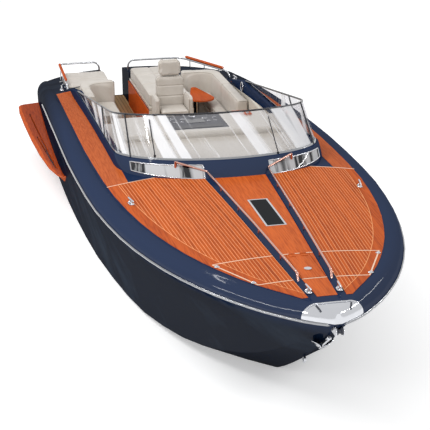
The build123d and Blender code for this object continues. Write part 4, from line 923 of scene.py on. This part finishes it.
def filled(piece, voxel, cap):
    """Blows a shape up as cloth with air in it; each point moves by no more than the cap."""
    remesh = piece.modifiers.new("net", "REMESH")
    remesh.mode = "VOXEL"
    remesh.voxel_size = voxel
    made_plain(piece)
    start = [vertex.co.copy() for vertex in piece.data.vertices]
    rest = min(point.z for point in start)
    cloth = piece.modifiers.new("air", "CLOTH")
    cloth.settings.quality = cloth_quality
    cloth.settings.use_pressure = True
    cloth.settings.uniform_pressure_force = air_pressure
    cloth.settings.effector_weights.gravity = 0
    cloth.collision_settings.use_collision = False
    scene = bpy.context.scene
    for number in range(1, fill_frames + 1):
        scene.frame_set(number)
    evaluated = piece.evaluated_get(bpy.context.evaluated_depsgraph_get())
    moved = [vertex.co.copy() for vertex in evaluated.data.vertices]
    piece.modifiers.clear()
    scene.frame_set(1)
    for vertex, old, new in zip(piece.data.vertices, start, moved):
        step = new - old
        if step.length > cap:
            step *= cap / step.length
        vertex.co = old + step
        vertex.co.z = max(vertex.co.z, rest)
    smooth = piece.modifiers.new("smooth", "SUBSURF")
    smooth.levels = smooth.render_levels = 1
    made_plain(piece)


seam_reach = 3


def press_seam(piece, axis, place, depth, half_width):
    """Presses a sewn channel into a pad along a plane square to an axis."""
    piece.data.update()
    normals = [normal.vector.copy() for normal in piece.data.vertex_normals]
    for vertex, normal in zip(piece.data.vertices, normals):
        away = (vertex.co[axis] - place) / half_width
        if abs(away) < seam_reach:
            vertex.co -= normal * depth * math.exp(-away * away)


piping_radius, piping_spacing = 0.0042, 0.8
drawn_in_share = 0.9


def pad(name, node_name, side, voxel, cap, fill, seams, welts):
    """One cushion: a side of a node's mesh, filled, seamed and piped."""
    piece = merged_copy(node_name, name)
    shape = bmesh.new()
    shape.from_mesh(piece.data)
    if side:
        split, way = side
        away = [v for v in shape.verts if (v.co.y - split) * way < 0]
        bmesh.ops.delete(shape, geom=away, context="VERTS")
    low = [min(v.co[i] for v in shape.verts) for i in range(3)]
    high = [max(v.co[i] for v in shape.verts) for i in range(3)]
    shape.normal_update()
    draw = cap * drawn_in_share
    inward = [vertex.normal * cap * drawn_in_share for vertex in shape.verts]
    for vertex, step in zip(shape.verts, inward):
        vertex.co -= step
        if vertex.co.z < low[2] + draw + 1e-4:
            vertex.co.z = low[2]
    shape.to_mesh(piece.data)
    shape.free()
    filled(piece, voxel, cap)
    for axis, place, depth, half_width in seams:
        press_seam(piece, axis, place, depth, half_width)
    piece.data.materials.clear()
    piece.data.materials.append(cream_leather)
    piece.data.shade_smooth()
    finish_piece(piece, node_name)
    chains = []
    for axis, drop in welts:
        place = Vector(high) if drop > 0 else Vector(low)
        place[axis] -= drop
        normal = Vector([1.0 if i == axis else 0.0 for i in range(3)])
        chains += loops_at(piece, place, normal, voxel * piping_spacing)
    baked(name + "_piping", chains, bar_tree, {"Width": piping_radius, "Finish": piping_leather},
          body_of_node[node_name], slot_of_node[node_name])


x_axis, y_axis, z_axis = 0, 1, 2
top_welt, low_welt, back_welt = (z_axis, 0.028), (z_axis, -0.022), (z_axis, 0.035)
face_welts = ((x_axis, 0.022), (x_axis, -0.022))
pad_rows = [
    # name, node, side, net, cap and fill, then seams as axis, place, depth and half width, then
    # welts as axis and drop
    ("main_pad", "sunpad_main", None, 0.018, 0.012, 0.8,
     ((y_axis, 0.16, 0.012, 0.016), (x_axis, -4.95, 0.012, 0.016), (x_axis, -4.25, 0.012, 0.016)),
     (top_welt, low_welt)),
    ("small_pad", "sunpad_small", None, 0.017, 0.012, 0.8, ((x_axis, -5.10, 0.012, 0.014),),
     (top_welt, low_welt)),
    ("lounge_cushion", "seat_cushions", (0, -1), 0.014, 0.010, 0.8, ((x_axis, -3.85, 0.010, 0.014),),
     (top_welt,)),
    ("sofa_cushion", "seat_cushions", (0, 1), 0.016, 0.010, 0.8,
     ((x_axis, -3.30, 0.010, 0.014), (x_axis, -3.95, 0.010, 0.014)), (top_welt,)),
    ("lounge_back", "seat_backs", (0, -1), 0.017, 0.010, 0.75, ((x_axis, -3.85, 0.010, 0.014),),
     (back_welt,)),
    ("sofa_back", "seat_backs", (0, 1), 0.018, 0.010, 0.75,
     ((x_axis, -3.05, 0.010, 0.014), (x_axis, -3.65, 0.010, 0.014)), (back_welt,)),
    ("helm_cushion", "helm_seat_cushion", None, 0.010, 0.010, 0.85, ((x_axis, -2.42, 0.007, 0.010),),
     ((z_axis, 0.025), (z_axis, -0.025))),
    ("helm_back_pad", "helm_back", None, 0.010, 0.010, 0.85,
     ((z_axis, 1.60, 0.008, 0.010), (z_axis, 1.77, 0.008, 0.010)), face_welts),
    ("helm_head_pad", "helm_headrest", None, 0.008, 0.010, 0.85, (), face_welts),
    ("helm_arm_starboard", "helm_arms", (0.05, -1), 0.009, 0.007, 0.85, (), ((y_axis, 0.014),)),
    ("helm_arm_port", "helm_arms", (0.05, 1), 0.009, 0.007, 0.85, (), ((y_axis, -0.014),)),
]
for row in pad_rows:
    pad(*row)
print("cushions:", len(pad_rows))

# %% [markdown]
# Deck fittings are cast and polished. A cleat has a rounded foot, two waisted legs and a bar with
# rounded horns. The stern has a round hoop, and turned mahogany caps on its rails, held up by short
# posts. Each stands at the place of the plain solid that it replaces.

# %% Cleats, hoop and stern rail caps
cleat_rows = [
    # place, turn in degrees, size
    (6.163, 4, 0.80),
    (2.783, 10, 0.90),
    (-4.500, -4, 0.90),
]
foot_drop, bar_drop, leg_reach, bar_reach = 0.055, 0.0125, 0.045, 0.115
leg_profile = [(0, 0.024), (0.012, 0.016), (0.030, 0.011), (0.052, 0.013)]
foot_length, foot_width, foot_thickness = 0.150, 0.062, 0.016
hoop_radius, hoop_bar = 0.075, 0.009
cap_radius, cap_inset, level_cap_y = 0.024, 0.02, -1.2
post_shares, post_drop, post_sunk = (0.12, 0.5, 0.88), 0.018, 0.004
shortest_post, longest_post = 0.02, 0.40


def part_corners(node_name):
    """The low and high corners of a node's separate parts, from their merged points."""
    mesh = frame["nodes"][node_name].data
    shape = bmesh.new()
    shape.from_mesh(mesh)
    bmesh.ops.remove_doubles(shape, verts=shape.verts, dist=merge_distance)
    found, left = [], set(shape.verts)
    while left:
        part, fresh = set(), [next(iter(left))]
        while fresh:
            vertex = fresh.pop()
            if vertex in part:
                continue
            part.add(vertex)
            fresh += [edge.other_vert(vertex) for edge in vertex.link_edges]
        left -= part
        low = Vector([min(v.co[i] for v in part) for i in range(3)])
        high = Vector([max(v.co[i] for v in part) for i in range(3)])
        found.append((low, high))
    shape.free()
    return sorted(found, key=lambda pair: tuple(pair[0]))


cleats = Shape("cleats_cast")
for low, high in part_corners("cleats"):
    middle = (low + high) / 2
    _, degrees, size = min(cleat_rows, key=lambda row: abs(row[0] - middle.x))
    turn = math.radians(-math.copysign(1, middle.y) * degrees)
    along = Vector((math.cos(turn), math.sin(turn), 0))
    across = Vector((-math.sin(turn), math.cos(turn), 0))
    bar_z = high.z - bar_drop
    base = Vector((middle.x, middle.y, bar_z - foot_drop + 0.003))
    cleats.slab(base, along, across, (foot_length * size, foot_width, foot_thickness), chrome, 0.5, 0.35)
    for way in (1, -1):
        cleats.lathe(base + along * (way * leg_reach * size), UP, leg_profile, chrome, 14)
    half = bar_reach * size
    horn = [(half * 0.3, 0.0125), (half - 0.02, 0.0115), (half - 0.006, 0.009), (half, 0.004)]
    cleats.lathe(Vector((middle.x, middle.y, bar_z)), along,
                 [(-place, radius) for place, radius in reversed(horn)] + horn, chrome, 14)
cleats.finished("boat", "chrome", ("cleats",))

low, high = part_corners("hoops")[0]
ring = [(low + high) / 2 + Vector((math.cos(t), 0, math.sin(t))) * hoop_radius
        for t in (2 * math.pi * i / 36 for i in range(37))]
baked("hoop_round", [ring], bar_tree, {"Width": hoop_bar, "Finish": chrome}, "boat", "chrome", ("hoops",))

caps, posts = Shape("rail_caps_turned"), Shape("cap_posts")
hull_surface = surface_of(smooth_pieces["hull"].data)
cap_end = [(0, 0.006), (0.004, 0.014), (0.016, 0.021), (0.05, 0.0235)]
for low, high in part_corners("stern_rail_caps"):
    start_y = end_y = (low.y + high.y) / 2
    if low.y > level_cap_y:
        start_y, end_y = low.y + cap_inset, high.y - cap_inset
    start = Vector((low.x, start_y, high.z - cap_radius))
    end = Vector((high.x, end_y, low.z + cap_radius))
    way, span = (end - start).normalized(), (end - start).length
    caps.lathe(start, way, cap_end + [(span / 2, cap_radius)]
               + [(span - place, radius) for place, radius in reversed(cap_end)], mahogany, 20)
    for share in post_shares:
        top = start + way * (span * share) - Vector((0, 0, post_drop))
        hit, _, _, _ = hull_surface.ray_cast(top, Vector(DOWN))
        if hit is not None and shortest_post < top.z - hit.z < longest_post:
            drop = top.z - hit.z + post_sunk
            posts.lathe(top, DOWN, [(0, 0.009), (drop - 0.012, 0.009), (drop - 0.010, 0.022),
                                          (drop, 0.024)], chrome, 14)
posts.finished("boat", "chrome")
caps.finished("boat", "mahogany", ("stern_rail_caps",))
print("cleats:", len(part_corners("cleats")), "caps:", len(part_corners("stern_rail_caps")))

# %% [markdown]
# The helm: a round rim wrapped in leather on three flat spokes, a pair of throttle levers with ball
# knobs, a compass under its dome, and round dials with bright rims let into the dark panel and into
# the mahogany one beside it. The dials repeat, so one is modelled and a small tree puts a copy at
# each point of a list.

# %% Helm fittings
rim_leather = leather("rim_leather", (0.030, 0.026, 0.024), (0.020, 0.017, 0.016))
dial_face = bumpy(new_finish("dial_face", (0.012, 0.014, 0.018), 0.25, Coat_Weight=0.6), 90, 2, 0.05, 0.0005)
dome_glass = new_finish("dome_glass", (0.020, 0.024, 0.030), 0.05, Coat_Weight=1.0, Coat_Roughness=0.02)
bumpy(dome_glass, 20, 1, 0.01, 0.001)

wheel_tilt, wheel_radius, rim_bar = math.radians(25), 0.190, 0.0138
spoke_size, spoke_middle = (0.150, 0.030, 0.007), 0.110
wheel_middle = Vector((-1.130, 0.050, 1.480))
wheel_axis = Vector((-math.cos(wheel_tilt), 0, math.sin(wheel_tilt)))
wheel_x = Vector((0, 1, 0))
wheel_y = wheel_axis.cross(wheel_x)


def on_wheel(turn, radius):
    return wheel_middle + (wheel_x * math.cos(turn) + wheel_y * math.sin(turn)) * radius


baked("wheel_rim", [[on_wheel(2 * math.pi * i / 60, wheel_radius) for i in range(61)]], bar_tree,
      {"Width": rim_bar, "Finish": rim_leather}, "wheel", "dark_panel")
hub = Shape("wheel_hub")
for i in range(3):
    turn = math.radians(90 + 120 * i)
    out = (on_wheel(turn, 1) - wheel_middle).normalized()
    hub.slab(on_wheel(turn, spoke_middle), out, out.cross(wheel_axis), spoke_size, chrome, 0.4, 0.3)
hub.lathe(wheel_middle, wheel_axis, [(-0.024, 0.030), (-0.020, 0.044), (0.006, 0.044), (0.014, 0.038),
                                     (0.020, 0.024), (0.024, 0.006)], chrome, 28)
hub.finished("wheel", "dark_panel", ("steering_wheel",))

knob_profile = [(0, 0.006), (0.004, 0.012), (0.012, 0.0175), (0.020, 0.0175), (0.029, 0.012), (0.033, 0.005)]
levers = Shape("throttle_levers")
levers.slab((-0.975, -0.300, 1.4525), UP, PORT, (0.165, 0.110, 0.050), dark_plastic, 0.25, 0.2)
for y in (-0.325, -0.275):
    foot = Vector((-1.000, y, 1.480))
    levers.lathe(foot, AFT, [(0, 0.016), (0.008, 0.012), (0.014, 0.0075), (0.135, 0.0065)], chrome, 14)
    levers.lathe(foot + Vector((-0.128, 0, 0)), AFT, knob_profile, dark_plastic, 18)
levers.finished("boat", "chrome", ("throttles",))

compass = Shape("compass_domed")
compass_foot = Vector((-0.750, 0, 1.784))
compass.lathe(compass_foot, UP, [(0, 0.050), (0.012, 0.050), (0.018, 0.046), (0.021, 0.043)], chrome, 28)
compass.lathe(compass_foot + Vector((0, 0, 0.020)), UP,
              [(0, 0.040), (0.010, 0.039), (0.020, 0.034), (0.029, 0.024), (0.034, 0.010), (0.035, 0.002)],
              dome_glass, 28)
compass.finished("boat", "dark_panel", ("compass",))


def spread_tree(name):
    """Puts a model at each point of a mesh, scaled by the size stored there."""
    tree, given, result = new_tree(name, Model="Object")
    model = tree.nodes.new("GeometryNodeObjectInfo")
    size = tree.nodes.new("GeometryNodeInputNamedAttribute")
    size.data_type = "FLOAT"
    size.inputs["Name"].default_value = "size"
    spread = tree.nodes.new("GeometryNodeInstanceOnPoints")
    real = tree.nodes.new("GeometryNodeRealizeInstances")
    wired(tree, (given, "Model", model, "Object"), (given, "Geometry", spread, "Points"),
          (model, "Geometry", spread, "Instance"), (size, "Attribute", spread, "Scale"),
          (spread, "Instances", real, "Geometry"), (real, "Geometry", result, "Geometry"))
    return tree


def spread_copies(name, model, rows, body, slot):
    """Copies of a model at rows of place and size, baked to one plain mesh."""
    mesh = bpy.data.meshes.new(name)
    mesh.from_pydata([place for place, _ in rows], [], [])
    sizes = mesh.attributes.new("size", "FLOAT", "POINT")
    for number, (_, size) in enumerate(rows):
        sizes.data[number].value = size
    piece = placed(name, mesh)
    grown(piece, copies_tree, {"Model": model})
    if "size" in piece.data.attributes:
        piece.data.attributes.remove(piece.data.attributes["size"])
    return fastened(piece, body, slot)


copies_tree = spread_tree("copies at points")
dial = Shape("dial_model")
dial.lathe((0, 0, 0), UP, [(0, 1.0), (0.10, 1.0), (0.16, 0.94), (0.16, 0.86), (0.11, 0.84)], chrome, 24)
dial.lathe((0, 0, 0), UP, [(0.05, 0.83), (0.12, 0.83)], dial_face, 24)
dial_model = dial.finished("boat", "chrome")
panel_top, gauge_top = 1.7845, 1.8085
big_dial, small_dial, gauge = 0.042, 0.030, 0.026
dial_rows = [((-0.62, y, panel_top), big_dial) for y in (-0.16, 0.16)]
dial_rows += [((-0.48, y, panel_top), small_dial) for y in (-0.30, -0.20, 0.20, 0.30)]
dial_rows += [((-0.66, y, panel_top), small_dial) for y in (-0.32, 0.32)]
gauge_rows = [((x, y, gauge_top), gauge) for x in (-0.80, -0.74, -0.68) for y in (0.68, 0.76, 0.84)]
spread_copies("panel_dials", dial_model, dial_rows + gauge_rows, "boat", "dark_panel")
bpy.data.objects.remove(dial_model)

screen = Shape("plotter_screen")
screen.slab((-0.50, 0, panel_top + 0.001), FORE, PORT, (0.20, 0.28, 0.008), dial_face, 0.08, 0.3)
screen.slab((-0.20, 0, panel_top + 0.001), FORE, PORT, (0.14, 0.70, 0.006), dark_metal, 0.12, 0.3)
screen.finished("boat", "dark_panel")
print("dials:", len(dial_rows) + len(gauge_rows))

# %% [markdown]
# The windshield's top edge is held by a slim bent tube, and two dark mullions on each side divide
# the pane. Chrome beads outline the cabin windows. All of them follow the curved surfaces, so their
# points are found on those surfaces first.

# %% Windshield tube, mullions and window beads
glass_low, glass_high = (1.600, 2.598, 1.411), (2.520, 1.310, 1.353)


edge_aft_x, edge_aft_z, edge_rise = -3.200, 1.660, 0.165
sill_rows = ((-3.2, 1.660), (0.66, 1.800), (2.60, 2.035))
tube_radius, tube_inset, tube_drop = 0.013, 0.006, 0.004
settling_steps = 12


def glass_at(z):
    """How far ahead the windshield's nose stands at a height, and its half width."""
    share = (z - glass_low[0]) / (glass_high[0] - glass_low[0])
    return [low + (high - low) * share for low, high in zip(glass_low[1:], glass_high[1:])]


def on_glass(turn, z, lift=0.0):
    """A place on the windshield's round nose; turn is its angle from the bow, port positive."""
    nose, half = glass_at(z)
    return Vector((nose - half + (half + lift) * math.cos(turn), (half + lift) * math.sin(turn), z))


def top_edge_z(x):
    """Height of the pane's sloping top edge."""
    return edge_aft_z + (x - edge_aft_x) * edge_rise


def met_on_glass(turn, z, height_at):
    """Where the glass at an angle meets a line whose height depends on the place, from a first guess."""
    for _ in range(settling_steps):
        z = height_at(on_glass(turn, z).x)
    return z


def top_of_glass(turn):
    return on_glass(turn, met_on_glass(turn, 2.4, top_edge_z))


def side_of_glass(x, side):
    z = top_edge_z(x)
    return Vector((x, side * glass_at(z)[1], z))


def sill_z(x):
    """Height of the coaming's top edge."""
    return between(sill_rows, x)


top_line = [top_of_glass(math.radians(-90 + 180 * i / 48)) for i in range(49)]
side_places = [-3.15 + (top_line[0].x + 3.15) * i / 16 for i in range(16)]
tube_line = [side_of_glass(x, -1) for x in side_places] + top_line
tube_line += [side_of_glass(x, 1) for x in reversed(side_places)]
tube_line = [Vector((point.x, point.y - math.copysign(tube_inset, point.y), point.z - tube_drop))
             for point in tube_line]
baked("windshield_tube", [tube_line], bar_tree, {"Width": tube_radius, "Finish": dark_metal},
      "boat", "dark_frame", ("windshield_frame",))


def mullion(turn, lift):
    """From the sill to the top edge at one angle."""
    low_z, high_z = met_on_glass(turn, 1.9, sill_z), top_of_glass(turn).z
    return [on_glass(turn, low_z + (high_z - low_z) * i / 8, lift) for i in range(9)]


front_mullion, mullion_radius = 64, 0.011
mullion_chains = [mullion(math.radians(turn), 0.006) for turn in (-front_mullion, front_mullion)]
side_foot_x, side_head_x = 0.02, -0.38
for side in (-1, 1):
    low = Vector((side_foot_x, 0, sill_z(side_foot_x)))
    high = Vector((side_head_x, 0, top_edge_z(side_head_x)))
    chain = [low.lerp(high, i / 6) for i in range(7)]
    for point in chain:
        point.y = side * (glass_at(point.z)[1] + 0.005)
    mullion_chains.append(chain)
baked("mullions", mullion_chains, bar_tree, {"Width": mullion_radius, "Finish": dark_metal}, "boat",
      "dark_frame")


pane_surface = surface_of(frame["nodes"]["coaming_windows"].data)
ahead_x, windows_low_z, window_step, least_x = 3.4, 1.60, 0.004, 0.5
bead_start_y, bead_step_y, bead_lift, bead_radius = 0.30, 0.02, 0.001, 0.009


def window_span(y):
    """The lowest and highest place of the cabin windows' faces at a distance across, seen from ahead."""
    found = []
    for step in range(120):
        start = Vector((ahead_x, y, windows_low_z + step * window_step))
        hit, _, _, _ = pane_surface.ray_cast(start, Vector(AFT))
        if hit is not None and hit.x > least_x:
            found.append(hit)
    return (found[0], found[-1]) if len(found) > 2 else None


beads = []
for side in (-1, 1):
    spans = [window_span(side * (bead_start_y + bead_step_y * i)) for i in range(55)]
    spans = [span for span in spans if span]
    line = [span[1] for span in spans] + [span[0] for span in reversed(spans)] + [spans[0][1]]
    beads.append([point + Vector((bead_lift, 0, 0)) for point in line])
baked("window_beads", beads, bar_tree, {"Width": bead_radius, "Finish": chrome}, "boat", "chrome")
print("mullions:", len(mullion_chains), "beads:", len(beads), [len(b) for b in beads])

# %% [markdown]
# The anchor is a plough: a slim shank and two blades that meet in a point. It hangs under a grooved
# roller between two cheeks. The bow plate has a raised rim and two slots for the mooring lines, drawn
# as dark bars that are painted shade for the hollow inside them, and small round pads stand inside
# the slanting inlays.

# %% Bow fittings
down, outwards, sideways = Vector((-0.809, 0, -0.5875)), Vector((0.5875, 0, -0.809)), Vector((0, 1, 0))
anchor_top = Vector((6.402, 0, 1.352))
converge, tilt = math.radians(20), math.radians(38)
plough = Shape("plough")
plough.slab(anchor_top + down * 0.19 + outwards * 0.012, down, sideways, (0.36, 0.024, 0.050), chrome,
            0.4, 0.25)
plough.lathe(anchor_top + down * 0.03 + outwards * 0.012 - sideways * 0.022, sideways,
             [(0, 0.012), (0.003, 0.020), (0.041, 0.020), (0.044, 0.012)], chrome, 18)
for side in (1, -1):
    blade_way = (down * math.cos(converge) - sideways * (side * math.sin(converge))).normalized()
    blade_side = (sideways * (side * math.cos(tilt)) - outwards * math.sin(tilt)).normalized()
    blade_side = (blade_side - blade_way * blade_side.dot(blade_way)).normalized()
    blade_middle = anchor_top + down * 0.36 + sideways * (side * 0.052) + outwards * 0.004
    plough.slab(blade_middle, blade_way, blade_side, (0.245, 0.110, 0.011), chrome, 0.48, 0.3)
plough.finished("boat", "chrome", ("anchor",))

roller = Shape("stem_roller")
for side in (1, -1):
    roller.slab(Vector((6.660, side * 0.040, 1.545)), FORE, UP, (0.220, 0.088, 0.010), chrome, 0.4, 0.25)
roller.slab(Vector((6.602, 0, 1.507)), FORE, PORT, (0.104, 0.084, 0.012), chrome, 0.1, 0.2)
roller.lathe(Vector((6.725, -0.035, 1.545)), PORT,
             [(0, 0.034), (0.004, 0.037), (0.014, 0.037), (0.027, 0.022), (0.043, 0.022), (0.056, 0.037),
              (0.066, 0.037), (0.070, 0.034)], dark_plastic, 24)
roller.finished("boat", "chrome", ("stem_head",))

plate_surface = surface_of(smooth_pieces["bow_plate"].data)


def on_plate(x, y, lift):
    """A place on the bow plate, found from above."""
    hit, _, _, _ = plate_surface.ray_cast(Vector((x, y, 2.2)), Vector(DOWN))
    return hit + Vector((0, 0, lift))


rim_x, rim_half, rim_lift, rim_radius, slot_radius = 6.492, 0.28, 0.004, 0.009, 0.011
slot_start_x, slot_length, slot_start_y, slot_turn_in = 6.520, 0.075, 0.185, 0.030
rim_points = [on_plate(rim_x, -rim_half + 2 * rim_half * i / 24, rim_lift) for i in range(25)]
slot_shade_chains = []
for side in (1, -1):
    line = [(slot_start_x + slot_length * i / 6, side * (slot_start_y - slot_turn_in * i / 6))
            for i in range(7)]
    slot_shade_chains.append([on_plate(x, y, 0.0) for x, y in line])
baked("bow_rim", [rim_points], bar_tree, {"Width": rim_radius, "Finish": chrome}, "boat", "chrome")
# The slots are dark bars: painted shade for the hollow inside each slot.
baked("bow_slots", slot_shade_chains, bar_tree, {"Width": slot_radius, "Finish": dark_plastic}, "boat", "chrome")

pads = Shape("deck_pads")
pad_places = ((5.19, 0.915), (5.75, 0.645))
pad_profile = [(0, 0.030), (0.004, 0.030), (0.007, 0.022), (0.016, 0.012), (0.020, 0.006)]
for side in (1, -1):
    for x, y in pad_places:
        foot = Vector((x, side * y, deck_z(x, side * y) + plank_proud))
        pads.lathe(foot, UP, pad_profile, chrome, 18)
pads.finished("boat", "chrome")
print("bow fittings: rim points", len(rim_points), "slots", len(slot_shade_chains))

# %% [markdown]
# Studio light: a plain bright surround, one broad lamp for shape, and long lamps at the sides that
# draw bright lines along the gunwale. The floor is the water's plane. It is pale, and the eye and
# the reflections see it as white, while the light that falls on it keeps the boat's shadow.

# %% Light and floor
light_level = 0.62
floor_size = 90
floor_glow = 0.35
lamp_rows = [
    # name, place, aim, size and power
    ("broad_lamp", (4, -9, 12), (0, 0, 1), (6, 6), 900),
    ("port_lamp", (2, 12, 7), (1, 0, 1.5), (12, 0.5), 420),
    ("starboard_lamp", (6, -14, 5), (2, 0, 1.2), (12, 0.3), 380),
    ("bow_lamp", (16, 2, 9), (3, 0, 1.5), (0.4, 9), 160),
    ("high_lamp", (-4, -5, 11), (1, -1.5, 1.6), (9, 0.4), 200),
]


def seen_straight(owner):
    """1 for the eye, for reflections and through glass, and 0 for light that falls on the boat."""
    path = add(owner, "LightPath")
    seen = sum_of(owner, "MAXIMUM", path.outputs["Is Camera Ray"], path.outputs["Is Glossy Ray"])
    return sum_of(owner, "MAXIMUM", seen, path.outputs["Is Transmission Ray"])


world = bpy.data.worlds.new("surround")
world.use_nodes = True
bpy.context.scene.world = world
surround = world.node_tree.nodes["Background"]
surround.inputs["Color"].default_value = (1, 1, 1, 1)
level = add(world, "MapRange", in_To_Min=light_level, in_To_Max=1.0)
join(world, seen_straight(world), level.inputs["Value"])
join(world, level.outputs[0], surround.inputs["Strength"])

for name, place, aim, size, power in lamp_rows:
    light = bpy.data.lights.new(name, "AREA")
    light.shape = "RECTANGLE"
    light.size, light.size_y = size
    light.energy = power
    lamp = placed(name, light)
    lamp.location = place
    lamp.rotation_mode = "QUATERNION"
    lamp.rotation_quaternion = (Vector(aim) - Vector(place)).to_track_quat("-Z", "Y")
    lamp.visible_glossy = name != "broad_lamp"

floor_mesh = bpy.data.meshes.new("floor")
corners = [(x * floor_size, y * floor_size, 0) for x, y in ((-1, -1), (1, -1), (1, 1), (-1, 1))]
floor_mesh.from_pydata(corners, [], [(0, 1, 2, 3)])
floor = placed("floor", floor_mesh)
floor_finish = new_finish("floor_pale", (0.82, 0.82, 0.82), 0.8, Specular_IOR_Level=0.0)
floor_seen = seen_straight(floor_finish)
join(floor_finish, blend_colour(floor_finish, floor_seen, (0.75, 0.75, 0.75), (1.0, 1.0, 1.0)),
     shader_of(floor_finish).inputs["Base Color"])
shader_of(floor_finish).inputs["Emission Color"].default_value = (1, 1, 1, 1)
join(floor_finish, sum_of(floor_finish, "MULTIPLY", floor_seen, floor_glow),
     shader_of(floor_finish).inputs["Emission Strength"])
floor_mesh.materials.append(floor_finish)
floor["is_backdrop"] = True
bpy.context.scene.view_settings.view_transform = "Standard"
print("light and floor ready")

# %% [markdown]
# The last cell writes the size of the dressed boat.

# %% Finish
low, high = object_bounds()
print("size:", [round(b - a, 3) for a, b in zip(low, high)])
